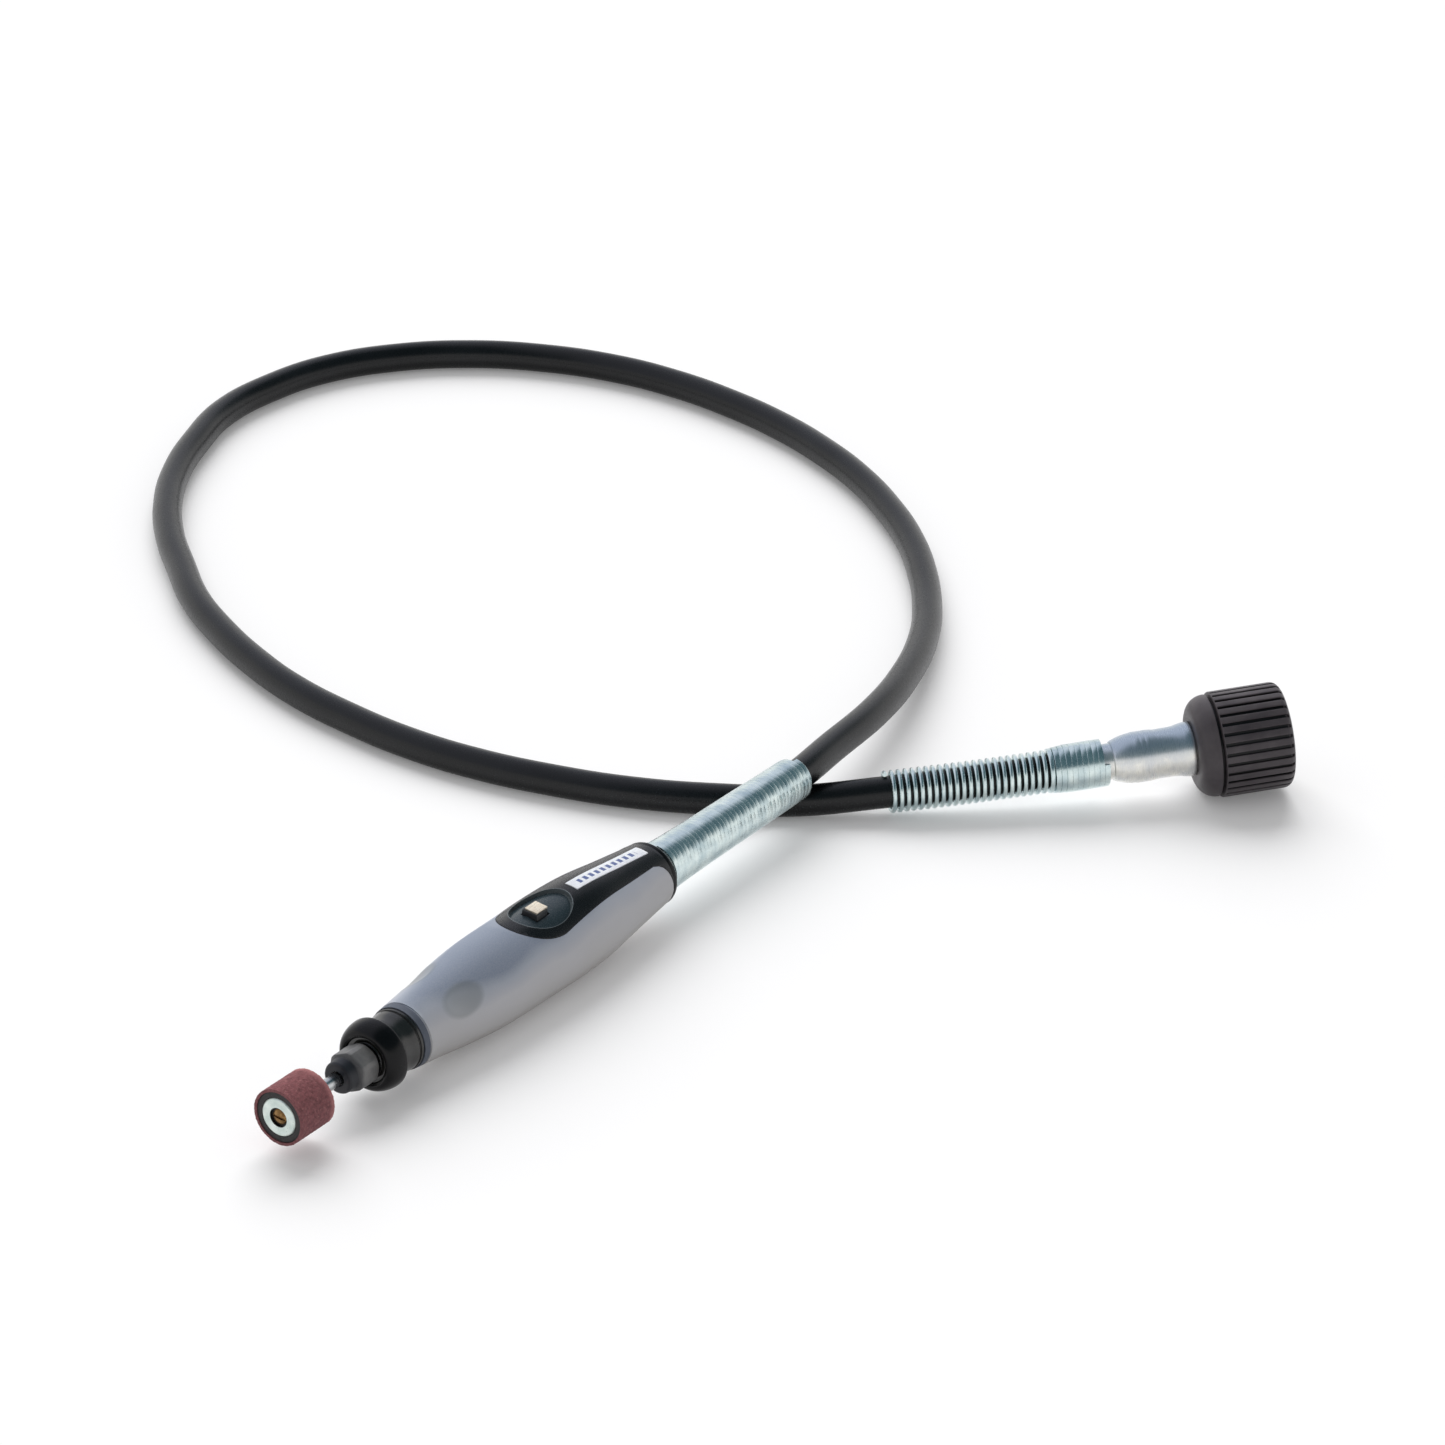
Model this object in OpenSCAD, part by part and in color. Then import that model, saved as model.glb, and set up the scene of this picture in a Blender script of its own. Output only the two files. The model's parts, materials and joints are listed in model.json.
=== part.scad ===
// Flexible-shaft attachment for a rotary tool: a slim handpiece with a sanding drum, a loose
// flexible shaft lying on the table, and the screw-on coupling for the machine's nose.
// Millimetres, +Z up, Z = 0 is the table. X runs along the handpiece, from the drum to the tail.
// Lengths along the handpiece are counted from the drum's front face, lengths along the coupling
// from the free end of its spring.

/* [Placement] */
// X of the drum's front face
hand_x = -149; // [-160:0.5:-140]
// Y of the handpiece's axis
hand_y = 40.5; // [30:0.5:50]
// Rise of the handpiece towards its tail, in degrees
hand_tilt = 0.8; // [0.4:0.1:1.4]
// Turn of the handpiece about its own axis, in degrees
hand_roll = 7; // [-20:1:20]
// X of the coupling spring's free end
coupling_x = 67.5; // [64:0.5:72]
// Y of the coupling spring's free end
coupling_y = 24; // [20:0.5:28]
// Direction of the coupling's axis seen from above, in degrees
coupling_yaw = -44; // [-50:0.5:-41]
// Rise of the coupling towards its nut, in degrees
coupling_tilt = 4.7; // [4:0.1:5.5]
// How far the free end of the coupling's spring leans sideways
spring_lean = 2.6; // [0:0.2:4]

/* [Sanding drum] */
// Outer radius of the abrasive band
band_r = 7; // [6.8:0.1:7.6]
// Wall of the abrasive band
band_wall = 0.75; // [0.6:0.05:1]
// Length of the abrasive band
band_length = 11.5; // [10:0.5:14]
// Gap between the band and the rubber
band_fit = 0.06; // [0.04:0.01:0.1]
// How far the rubber stays back from each end of the band
rubber_inset = 0.25; // [0.1:0.05:0.5]
// Radius of the clamping washers
washer_r = 4.65; // [4:0.05:5.2]
// Thickness of the front washer
washer_t = 1.2; // [1:0.1:1.6]
// Thickness of the mandrel's rear flange
flange_t = 0.95; // [0.8:0.05:1.5]
// Radius of the mandrel's hub inside the rubber
hub_r = 2.2; // [2:0.1:2.6]
// Space between the front washer and the hub, which lets the rubber be squeezed
squeeze_gap = 1.2; // [0.8:0.1:1.6]
// Radius of the clamping screw
screw_r = 1.25; // [1:0.05:1.5]
// Length of the clamping screw below its head
screw_length = 7; // [5:0.5:8]
// Radius of the screw's head
screw_head_r = 1.9; // [1.7:0.05:2.2]
// Thickness of the screw's head
screw_head_t = 0.6; // [0.5:0.05:0.7]
// Width of the screw's slot
screw_slot = 0.5; // [0.4:0.05:0.7]
// Radius of the mandrel's shank
shank_r = 1.6; // [1.5:0.05:1.7]
// Length of the shank behind the flange
shank_length = 33.7; // [30:0.5:36]
// Length of shank that shows in front of the collet nut
shank_shown = 8.8; // [5:0.1:12]

/* [Collet and nut] */
// Length of the collet nut
nut_length = 9.4; // [9:0.1:12]
// Radius of the collet nut
nut_r = 5; // [4.6:0.1:5.6]
// Radius of the nut's nose
nut_nose_r = 3.9; // [3.5:0.1:4.4]
// Length of the nut's tapered nose
nut_nose_length = 3; // [2:0.5:4]
// Distance across the nut's spanner flats
nut_flats = 9.2; // [9:0.1:9.8]
// Thickness of the nut's front wall
nut_wall = 0.85; // [0.6:0.05:1]
// Radius of the collet's body
collet_r = 2.5; // [2.3:0.05:2.7]
// Length of the collet
collet_length = 18; // [14:1:20]
// Length of the collet's cone
collet_cone = 4.1; // [3.5:0.1:4.5]
// Radius of the collet's front face
collet_tip_r = 2.2; // [2.1:0.05:2.4]
// Largest radius of the collet's cone
collet_head_r = 3.05; // [2.9:0.05:3.1]
// Width of the collet's slots
collet_slot = 0.4; // [0.3:0.05:0.6]
// Radius of the spindle's threaded nose
nose_thread_r = 3.5; // [3.4:0.05:3.7]
// Radial clearance of turning and sliding fits
run_fit = 0.06; // [0.04:0.01:0.09]
// Gap between faces that pass each other
face_gap = 0.3; // [0.2:0.05:0.4]

/* [Guard and neck] */
// Radius of the finger guard
guard_r = 8.75; // [8.5:0.05:10]
// Thickness of the finger guard
guard_t = 6; // [5:0.5:7]
// Radius of the neck behind the guard
neck_r = 7.3; // [7.1:0.05:7.6]
// Length of the neck behind the guard
neck_length = 6.6; // [6:0.1:9]
// Radius of the spigot that the guard sits on
spigot_r = 5.6; // [5.3:0.1:6]

/* [Spindle and bearings] */
// Radius of the spindle
spindle_r = 4; // [3.9:0.05:4.1]
// Radius of the bearings
bearing_r = 6; // [5.9:0.05:6.1]
// Thickness of a bearing
bearing_t = 3.5; // [3:0.1:4]
// Thickness of each race
race_t = 0.6; // [0.5:0.05:0.65]
// Radius of a bearing ball
ball_r = 0.7; // [0.6:0.05:0.75]
// Number of balls in a bearing
ball_count = 9; // [7:1:10]
// Distance of the front bearing behind the neck
bearing_set_back = 2.9; // [2.7:0.1:4]
// Distance between the front faces of the two bearings
bearing_span = 28.6; // [24:0.2:30]
// Outer radius of the tube that carries the bearings
tube_r = 7; // [6.9:0.05:7.1]
// Depth of the circlip grooves
groove_depth = 0.35; // [0.25:0.05:0.4]
// Thickness of the circlips
clip_t = 0.7; // [0.5:0.1:0.8]
// Side of the square drive between the core and the spindle
drive_square = 3.2; // [3:0.1:3.4]
// Depth of the spindle's square socket
socket_depth = 13.6; // [12:0.2:15]
// Length of solid spindle between the lock pin and the socket
lock_to_socket = 6.4; // [5:0.2:7]

/* [Grip] */
// Length of the grip
grip_length = 95.8; // [94:0.2:98]
// Radius of the grip at its front end
grip_front_r = 7.8; // [7.7:0.05:8.2]
// Radius of the grip at its widest
belly_r = 11.5; // [11.2:0.1:12.5]
// Radius of the grip at its tail
grip_tail_r = 8.15; // [8.1:0.05:8.8]
// Depth of the finger dimples
dimple_depth = 0.55; // [0.3:0.05:0.8]
// Radius of the ball that shapes the dimples
dimple_ball = 26; // [20:1:32]
// Distance of the dimples from the grip's front
dimple_at = 13.2; // [12:0.2:16]
// Turn of the dimples from the top of the grip, in degrees
dimple_turn = 45; // [35:1:60]

/* [Top panel and lock button] */
// Half width of the top panel
panel_half = 8.2; // [7.8:0.1:8.6]
// Half width of the top panel at the tail
panel_tail_half = 4.6; // [4:0.1:5.4]
// Distance of the panel's widest place from the grip's tail
panel_wide_at = 43.9; // [42:0.2:46]
// Length of the panel's rounded front
panel_nose = 12.5; // [11:0.5:14]
// Wall of the top panel
panel_wall = 1.9; // [1.6:0.1:2]
// Depth of the dish round the button
dish_depth = 1; // [0.7:0.1:1.1]
// Half length of the dish
dish_half_length = 9.3; // [8:0.1:10]
// Half width of the dish
dish_half_width = 6.3; // [5.6:0.1:6.6]
// Length of the lock button
button_length = 4.6; // [4.4:0.1:5]
// Width of the lock button
button_width = 4.4; // [4.2:0.1:4.6]
// Height of the button above the dish
button_rise = 1.5; // [1.4:0.1:1.8]
// How far the button can be pressed
button_travel = 1.4; // [1:0.1:1.4]
// Thickness of the button's metal cap
cap_t = 0.35; // [0.3:0.05:0.5]
// Radius of the lock pin
pin_r = 0.9; // [0.8:0.05:1]
// Wire of the lock spring
lock_wire = 0.35; // [0.3:0.05:0.4]
// Length of the label plate
label_length = 28.5; // [24:0.5:30]
// Width of the label plate
label_width = 3.6; // [3:0.1:4.4]
// Height of the label plate above the panel
label_rise = 0.15; // [0.1:0.05:0.3]

/* [Casing] */
// Radius of the flexible shaft's cover
casing_r = 4; // [3.9:0.05:4.1]
// Wall of the cover
cover_wall = 0.9; // [0.7:0.05:1]
// Wall of the wound liner inside the cover
liner_wall = 0.6; // [0.5:0.05:0.7]
// Radius of the drive core
core_r = 1.7; // [1.5:0.05:1.8]
// Gap between the casing and the metal it ends in
casing_fit = 0.08; // [0.05:0.01:0.15]
// Length of the casing inside the handpiece
casing_in_hand = 13.5; // [12:0.5:15]
// Length of the tail bush inside the grip
bush_length = 21.4; // [20:0.2:24]
// Thickness of the tail bush's flange
bush_flange_t = 2; // [1.5:0.1:2.5]
// Radius of the spigot that the handpiece's spring grips
bush_spigot_r = 4.95; // [4.8:0.05:5]
// Length of the spigot that the handpiece's spring grips
bush_spigot_length = 7; // [5:0.5:10]
// Radius of the grub screws that hold the tail bush
set_screw_r = 1.4; // [1.2:0.1:1.6]
// Length of the tail ring
tail_ring_length = 2.1; // [2:0.1:4]
// Radius of the tail ring at its back
tail_ring_back_r = 7.8; // [7.7:0.05:8]

/* [Springs] */
// Wire radius of the strain-relief springs
wire_r = 0.45; // [0.42:0.01:0.5]
// Distance from turn to turn where the springs are close-wound
coil_pitch = 1.5; // [1.45:0.01:1.6]
// Turns of the handpiece's spring
tail_turns = 39; // [34:1:40]
// Turns of the coupling's spring that are wound open
open_turns = 25; // [20:1:26]
// Distance from turn to turn of the open turns
open_pitch = 1.71; // [1.65:0.01:1.75]
// Close-wound turns of the coupling's spring, at its base
close_turns = 8; // [8:1:10]
// Outer radius of the handpiece's spring at its base
tail_base_r = 6.7; // [6.65:0.01:6.75]
// Outer radius of the handpiece's spring at its middle
tail_mid_r = 5.95; // [5.8:0.05:6.4]
// Outer radius of the handpiece's spring at its free end
tail_end_r = 5.55; // [5.4:0.05:6]
// Outer radius of the coupling's spring at its free end
machine_end_r = 5.37; // [5.35:0.01:5.6]
// Outer radius of the coupling's spring at its base
machine_base_r = 5.95; // [5.9:0.01:6.4]

/* [Coupling] */
// Radius of the ferrule's sleeve inside the spring
sleeve_r = 4.5; // [4.45:0.05:4.6]
// Length of the ferrule's sleeve inside the spring
sleeve_length = 10.4; // [8:0.2:14]
// Length of the casing inside the ferrule, past the spring
casing_in_ferrule = 4; // [3:0.5:8]
// Length of the ferrule's cone
cone_length = 5.4; // [4:0.1:6]
// Length of the ferrule's crimped band
crimp_length = 4.6; // [4:0.1:5]
// Radius of the ferrule's crimped band
crimp_r = 6.35; // [6.25:0.05:6.6]
// Radius of the ferrule's barrel
barrel_r = 6.1; // [5.9:0.05:6.2]
// Length of bare barrel between the band and the shoulder
barrel_shown = 7.6; // [6:0.2:9]
// Radius of the shoulder behind the nut
shoulder_r = 6.75; // [6.6:0.05:7]
// Thickness of the shoulder
shoulder_t = 2.6; // [2:0.1:3]
// Radius of the coupling nut
knob_r = 13.2; // [12.8:0.1:14]
// Radius of the nut's smooth collar
knob_collar_r = 12.5; // [12:0.1:12.7]
// Length of the nut's smooth collar
knob_collar_length = 6.8; // [5:0.2:7]
// Length of the coupling nut
knob_length = 23.5; // [20:0.1:25]
// Number of ribs round the nut
rib_count = 32; // [24:2:36]
// Radius of the grooves between the ribs
rib_groove_r = 0.75; // [0.6:0.05:0.9]
// Depth of the grooves between the ribs
rib_groove_depth = 0.55; // [0.4:0.05:0.7]
// Thickness of the nut's back wall
knob_wall = 7; // [5:0.1:7.5]
// Radius of the thread in the nut, at its crests
thread_r = 8.38; // [8.2:0.01:8.6]
// Length of the thread
thread_length = 12.8; // [10:0.1:13]
// Outer radius of the threaded insert
insert_r = 11; // [10.6:0.1:11.4]
// Radius of the bushing in the ferrule
bushing_r = 3.65; // [3.4:0.05:3.9]
// Length of the bushing in the ferrule
bushing_length = 7; // [5:0.5:8]
// Radius of the driving tip's journal
tip_journal_r = 2.3; // [2.3:0.05:2.6]

/* [Hidden] */
$fn = 96;

// Small gap between faces that sit against each other
seat_gap = 0.05;
// Gap between a part and the pocket that it is pressed into
seat_fit = 0.03;
// Reach of a cutting shape past the surface that it cuts
past = 1;
// Chamfer of a turned edge
chamfer = 0.4;

// Sanding drum, from the front face back
rubber_r = band_r - band_wall - band_fit;
rubber_to = band_length - rubber_inset;
flange_from = rubber_to + seat_gap;
flange_to = flange_from + flange_t;
hub_from = washer_t + squeeze_gap;
screw_sunk = 0.1;
screw_top = screw_sunk;
screw_seat = screw_top + screw_head_t;
screw_to = screw_seat + screw_length;
screw_slot_depth = screw_head_t / 2;
screw_fit = 0.1;
washer_hole_r = screw_r + screw_fit;
washer_bore_r = screw_head_r + 2 * screw_fit;
screw_hole_spare = 0.6;
shank_to = flange_to + shank_length;

// Collet and nut
nut_from = flange_to + shank_shown;
nut_to = nut_from + nut_length;
nut_hole_r = shank_r + face_gap;
collet_gap = 0.2;
collet_from = nut_from + nut_wall + collet_gap;
cone_to = collet_from + collet_cone;
collet_to = collet_from + collet_length;
collet_tail = 3;
collet_slot_to = collet_to - collet_tail;
collet_rim = 0.3;
cone_fit = 0.1;
nut_nose_step = 0.2;
nut_nose_round = 0.6;
nut_shoulder = 0.5;
spindle_from = cone_to + face_gap;

// Guard, neck and bearings
guard_from = nut_to + face_gap;
guard_to = guard_from + guard_t;
guard_lip = 2.4;
guard_dish = 1.4;
guard_step = 0.5;
guard_web = 0.6;
guard_crest_share = 0.78;
guard_crest = guard_from + guard_crest_share * guard_t;
neck_to = guard_to + neck_length;
neck_waist = 0.2;
neck_ring = 0.3;
neck_ring_length = 0.9;
spigot_from = guard_from + 0.7;
spindle_hole_r = spindle_r + face_gap;
journal_collar = 0.7;
journal_collar_r = spindle_r + journal_collar;
journal_collar_t = 1.9;
front_bearing = neck_to + bearing_set_back;
front_bearing_to = front_bearing + bearing_t;
rear_bearing = front_bearing + bearing_span;
rear_bearing_to = rear_bearing + bearing_t;
ball_circle = (spindle_r + bearing_r) / 2;
ball_fit = 0.18;
ball_groove_r = ball_r + ball_fit;
tube_bore_r = bearing_r + seat_fit;
wave_from = rear_bearing_to + seat_gap;
wave_t = 0.5;
clip_from = wave_from + wave_t + face_gap;
clip_lap = 0.7;
clip_opening = 2;
clip_land = 1.3;
tube_to = clip_from + clip_t + clip_land;

// Grip: [share of the length, share of the swelling] from the front to the belly and on to the tail
end_gap = 0.1;
grip_from = neck_to + end_gap;
grip_to = grip_from + grip_length;
grip_bore_r = tube_r + seat_gap;
front_swell = [[0, 0], [0.085, 0.24], [0.21, 0.65], [0.325, 0.905], [0.48, 0.965], [0.625, 1]];
tail_swell = [[0.625, 1], [0.73, 0.88], [0.855, 0.46], [1, 0]];
grip_steps = 28;

function mix(low, high, share) = low + (high - low) * share;
function grip_share(u) = (u - grip_from) / grip_length;
function curve_at(points, k) = points[max(0, min(len(points) - 1, k))];
function slope_at(points, k) =
    (curve_at(points, k + 1)[1] - curve_at(points, k - 1)[1])
    / (curve_at(points, k + 1)[0] - curve_at(points, k - 1)[0]);
function span_of(points, x, k = 0) =
    k >= len(points) - 2 || x < points[k + 1][0] ? k : span_of(points, x, k + 1);
// Smooth curve through a list of points
function smooth(points, x) =
    let (k = span_of(points, x), a = points[k], b = points[k + 1], w = b[0] - a[0], t = (x - a[0]) / w)
    let (sa = slope_at(points, k) * w, sb = slope_at(points, k + 1) * w, d = b[1] - a[1])
    a[1] + t * (sa + t * (3 * d - 2 * sa - sb + t * (sa + sb - 2 * d)));
swell = concat(
    [for (p = front_swell) [p[0], mix(grip_front_r, belly_r, p[1])]],
    [for (k = [1 : len(tail_swell) - 1]) [tail_swell[k][0], mix(grip_tail_r, belly_r, tail_swell[k][1])]]
);
function grip_r(u) = smooth(swell, max(0, min(1, grip_share(u))));

// Inner frame and tail
frame_from = tube_to + face_gap;
frame_r = tube_r;
frame_wall = 0.9;
frame_bore_r = frame_r - frame_wall;
ring_from = grip_to + end_gap;
ring_to = ring_from + tail_ring_length;
ring_flat = 1.2;
ring_round = 0.6;
bush_from = grip_to - bush_length;
bush_flange_to = ring_from + bush_flange_t;
bush_r = frame_bore_r - seat_gap;
casing_start = bush_flange_to - casing_in_hand;
casing_bore_r = casing_r + casing_fit;
core_bore_r = core_r + face_gap;
spring_gap = 0.2;
tail_spring_from = bush_flange_to + spring_gap + wire_r;
bush_rim = 0.8;
tail_spring_to = tail_spring_from + tail_turns * coil_pitch;
tail_taper_share = 0.3;
set_screw_back = 2;
set_screw_u = (bush_from + grip_to) / 2 + set_screw_back;
set_screw_bite = 0.5;
set_screw_top = sqrt(frame_r * frame_r - set_screw_r * set_screw_r);
set_screw_socket_r = set_screw_r / 2;
set_screw_socket_depth = 0.9;

// Top panel and label
frame_cover = 0.7;
panel_wide_u = grip_to - panel_wide_at;
panel_top = 0.1;
panel_floor_r = frame_r + frame_cover;
panel_gap = 0.12;
function panel_r(u) = grip_r(u) + panel_top;
function panel_in_r(u) = max(panel_r(u) - panel_wall, panel_floor_r);
label_margin = 3;
label_to = grip_to - label_margin;
label_from = label_to - label_length;
label_sunk = 0.25;

// Lock button, heights above the spindle's axis
button_ahead = 1.5;
button_u = panel_wide_u - button_ahead;
dish_behind = 2;
dish_u = button_u + dish_behind;
dish_floor = panel_r(button_u) - dish_depth;
button_gap = 0.25;
button_top = dish_floor + button_rise;
button_foot_t = 0.55;
button_foot_side = 0.75;
button_room = 0.5;
foot_reach = button_width / 2 + button_foot_side;
foot_gap = 0.15;
foot_top = sqrt(pow(panel_in_r(button_u) - foot_gap, 2) - foot_reach * foot_reach) - 0.1;
foot_bottom = foot_top - button_foot_t;
guide_r = 2;
flat_side = 1.6;
lock_flat = min(sqrt(frame_r * frame_r - guide_r * guide_r), foot_bottom - button_travel - foot_gap);
guide_bottom = frame_bore_r - frame_wall;
guide_top = lock_flat;
pin_clear = 0.25;
pin_rest = spindle_r + pin_clear;
pin_hole_floor = pin_rest - button_travel - face_gap;
pin_hole_fit = 0.15;
pin_hole_r = pin_r + pin_hole_fit;
lock_spring_r = pin_r + lock_wire;
spring_well_fit = 0.18;
spring_well_r = lock_spring_r + lock_wire / 2 + spring_well_fit;
button_roof = 1.2;
pin_hold = 0.8;
spring_well_top = button_top - cap_t - button_roof;
pin_top = spring_well_top + pin_hold;
lock_turns = 3.75;
lock_height = spring_well_top - guide_top - 2 * seat_gap;
spindle_tail_step = 0.1;
spindle_tail_r = spindle_r - spindle_tail_step;

// Spindle's tail
socket_from = button_u + lock_to_socket;
spindle_to = socket_from + socket_depth;
socket_fit = 0.2;
socket_side = drive_square + socket_fit;
shank_bore_r = shank_r + face_gap;
shank_room = 6;
shank_bore_to = shank_to + shank_room;
core_end_from = socket_from + 2 * socket_fit;
core_neck_from = spindle_to + socket_fit;
core_neck_t = 1.8;
core_neck_r = 2.3;
core_from = core_neck_from + core_neck_t + face_gap;

// Coupling, from the spring's free end forward
cone_gap = 0.4;
cone_step = 0.3;
machine_spring_to = 2 * wire_r + open_turns * open_pitch + close_turns * coil_pitch;
open_to = wire_r + open_turns * open_pitch;
flare_length = 6.6;
casing_end = machine_spring_to + casing_in_ferrule;
cone_from = machine_spring_to + 2 * wire_r + cone_gap;
sleeve_from = cone_from - sleeve_length;
cone_end = cone_from + cone_length;
crimp_to = cone_end + crimp_length;
shoulder_from = crimp_to + barrel_shown;
shoulder_to = shoulder_from + shoulder_t;
knob_from = shoulder_to + face_gap;
knob_to = knob_from + knob_length;
knob_hole_r = barrel_r + run_fit;
knob_room_from = knob_from + knob_wall;
coupling_clip_from = knob_room_from + face_gap;
coupling_clip_reach = 1.8;
coupling_clip_r = barrel_r + coupling_clip_reach;
barrel_land = 1.8;
barrel_to = coupling_clip_from + clip_t + barrel_land;
insert_to = knob_to - face_gap;
insert_from = insert_to - thread_length;
insert_step = 1.2;
knob_room_r = insert_r - insert_step;
knob_rim = 2;
knob_dome = 3.6;
knob_dome_length = 4.2;
knob_seam = 0.5;
knob_seam_depth = 0.5;
rib_land = 0.4;
crimp_round = 0.2;
shoulder_round = 0.5;
bushing_behind = 0.6;
bushing_from = shoulder_from + bushing_behind;
bushing_to = bushing_from + bushing_length;
tip_ahead = 1.9;
tip_from = bushing_from + tip_ahead;
tip_gap = 0.15;
tip_collar_from = bushing_to + tip_gap;
tip_collar_t = 0.7;
tip_collar_r = 3.2;
tip_to = min(barrel_to, insert_from) - end_gap;
core_to = tip_from - face_gap;

// Rest on the table: the grip's belly, the cover and the nut's rear ribs touch it
hand_z = max([
    for (k = [0 : grip_steps]) let (u = mix(grip_from, grip_to, k / grip_steps))
    grip_r(u) * cos(hand_tilt) - u * sin(hand_tilt)
]);
rib_from = knob_from + knob_collar_length;
coupling_z = knob_r * cos(coupling_tilt) - rib_from * sin(coupling_tilt);

function hand_point(u) = [hand_x + u * cos(hand_tilt), hand_y, hand_z + u * sin(hand_tilt)];
function coupling_point(v) = [
    coupling_x + v * cos(coupling_tilt) * cos(coupling_yaw),
    coupling_y + v * cos(coupling_tilt) * sin(coupling_yaw),
    coupling_z + v * sin(coupling_tilt)
];
function lean_at(v) = spring_lean * pow(max(0, 1 - v / sleeve_from), 2);
function leaning_point(v) = coupling_point(v) + lean_at(v) * [-sin(coupling_yaw), cos(coupling_yaw), 0];

// Free stretch of the casing: down from the tail spring to the table and round in one loop
loop_route = [
    [72, 43.5, 12.3], [98.5, 48.4, 10.4], [125, 57, 7.7], [151.5, 69, 5.2],
    [169.5, 80, 4.2], [186.5, 93, 4], [202, 107.5, 4], [215.5, 123.5, 4], [227.5, 141, 4],
    [237, 159.5, 4], [244.5, 179, 4], [249.5, 199.5, 4], [252, 220.5, 4], [251, 241.5, 4],
    [245.5, 262, 4], [236, 280.5, 4], [221.5, 296.5, 4], [203.5, 307.5, 4], [183, 312, 4],
    [162.5, 311.5, 4], [142.5, 305, 4], [123, 296, 4], [105.5, 284.5, 4], [89.5, 270.5, 4],
    [75.5, 255, 4], [62, 239, 4], [51, 221.5, 4], [41.5, 202.5, 4], [34, 182.5, 4],
    [29.5, 162, 4], [27, 141, 4], [27.5, 120, 4], [31, 99.5, 4], [37, 79, 4],
    [46, 60, 4], [57, 42.5, 4.2]
];
spring_route = [for (k = [0 : 4]) leaning_point(k * sleeve_from / 4)];
casing_route = concat(
    [hand_point(casing_start), hand_point(tail_spring_to)],
    loop_route,
    spring_route,
    [coupling_point(casing_end)]
);
core_route = concat(
    [hand_point(core_from)],
    [hand_point(casing_start), hand_point(tail_spring_to)],
    loop_route,
    spring_route,
    [coupling_point(casing_end), coupling_point(core_to)]
);
cover_sides = 12;
core_sides = 8;

// Swept tubes
function unit(v) = v / norm(v);
function along(route, k) = unit(route[min(k + 1, len(route) - 1)] - route[max(k - 1, 0)]);
function ring_at(centre, direction, r, sides) =
    let (across = unit(cross([0, 0, 1], direction)), up = cross(direction, across))
    [for (k = [0 : sides - 1])
        let (turn = 360 * k / sides - 90)
        centre + r * (cos(turn) * across + sin(turn) * up)];
function swept(route, r, sides) =
    [for (k = [0 : len(route) - 1]) each ring_at(route[k], along(route, k), r, sides)];
function wall_faces(rings, sides, first) = [
    for (k = [0 : rings - 2], j = [0 : sides - 1])
    let (a = first + k * sides + j, b = first + k * sides + (j + 1) % sides)
    each [[a, a + sides, b + sides], [a, b + sides, b]]
];
function flipped(faces) = [for (f = faces) [f[0], f[2], f[1]]];
function cap_faces(first, sides) = [for (j = [1 : sides - 2]) [first, first + j, first + j + 1]];
function rim_faces(outer, inner, sides) = [
    for (j = [0 : sides - 1])
    let (k = (j + 1) % sides)
    each [[outer + j, outer + k, inner + k], [outer + j, inner + k, inner + j]]
];
module swept_rod(route, r, sides) {
    rings = len(route);
    polyhedron(
        points = swept(route, r, sides),
        faces = concat(
            wall_faces(rings, sides, 0),
            cap_faces(0, sides),
            flipped(cap_faces((rings - 1) * sides, sides))
        )
    );
}
module swept_tube(route, r, bore_r, sides) {
    rings = len(route);
    last = (rings - 1) * sides;
    polyhedron(
        points = concat(swept(route, r, sides), swept(route, bore_r, sides)),
        faces = concat(
            wall_faces(rings, sides, 0),
            flipped(wall_faces(rings, sides, rings * sides)),
            rim_faces(0, rings * sides, sides),
            flipped(rim_faces(last, rings * sides + last, sides))
        )
    );
}

// Wound springs: one unbroken wire, with its place given turn by turn and its outer radius place by place
curl_rings = 8;
wire_sides = 6;
function coil_ring(turns, places, outline, r, leans) =
    let (turn = 360 * turns, u = lookup(turns, places), mean = lookup(u, outline) - r)
    let (aside = leans ? lean_at(u) : 0)
    let (rise = lookup(turns + 0.5, places) - lookup(turns - 0.5, places))
    let (out = [0, cos(turn), sin(turn)], run = unit([rise / (2 * PI), -mean * sin(turn), mean * cos(turn)]))
    let (across = cross(run, out))
    [for (j = [0 : wire_sides - 1])
        [u, mean * cos(turn) + aside, mean * sin(turn)]
        + r * (cos(360 * j / wire_sides) * out + sin(360 * j / wire_sides) * across)];
function coil_points(places, outline, r, leans) =
    let (turns = places[len(places) - 1][0])
    [for (k = [0 : round(turns * curl_rings)]) each coil_ring(k / curl_rings, places, outline, r, leans)];
function coil_gap(points) = min([
    for (k = [0 : wire_sides : len(points) - curl_rings * wire_sides - 1], i = [0 : wire_sides - 1])
    each [for (j = [0 : wire_sides - 1]) norm(points[k + i] - points[k + curl_rings * wire_sides + j])]
]);
module coil(name, places, outline, r, leans = false) {
    points = coil_points(places, outline, r, leans);
    rings = len(points) / wire_sides;
    echo(str("least gap between the turns of ", name, ": ", coil_gap(points), " mm"));
    polyhedron(
        points = points,
        faces = concat(
            wall_faces(rings, wire_sides, 0),
            cap_faces(0, wire_sides),
            flipped(cap_faces((rings - 1) * wire_sides, wire_sides))
        )
    );
}

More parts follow.
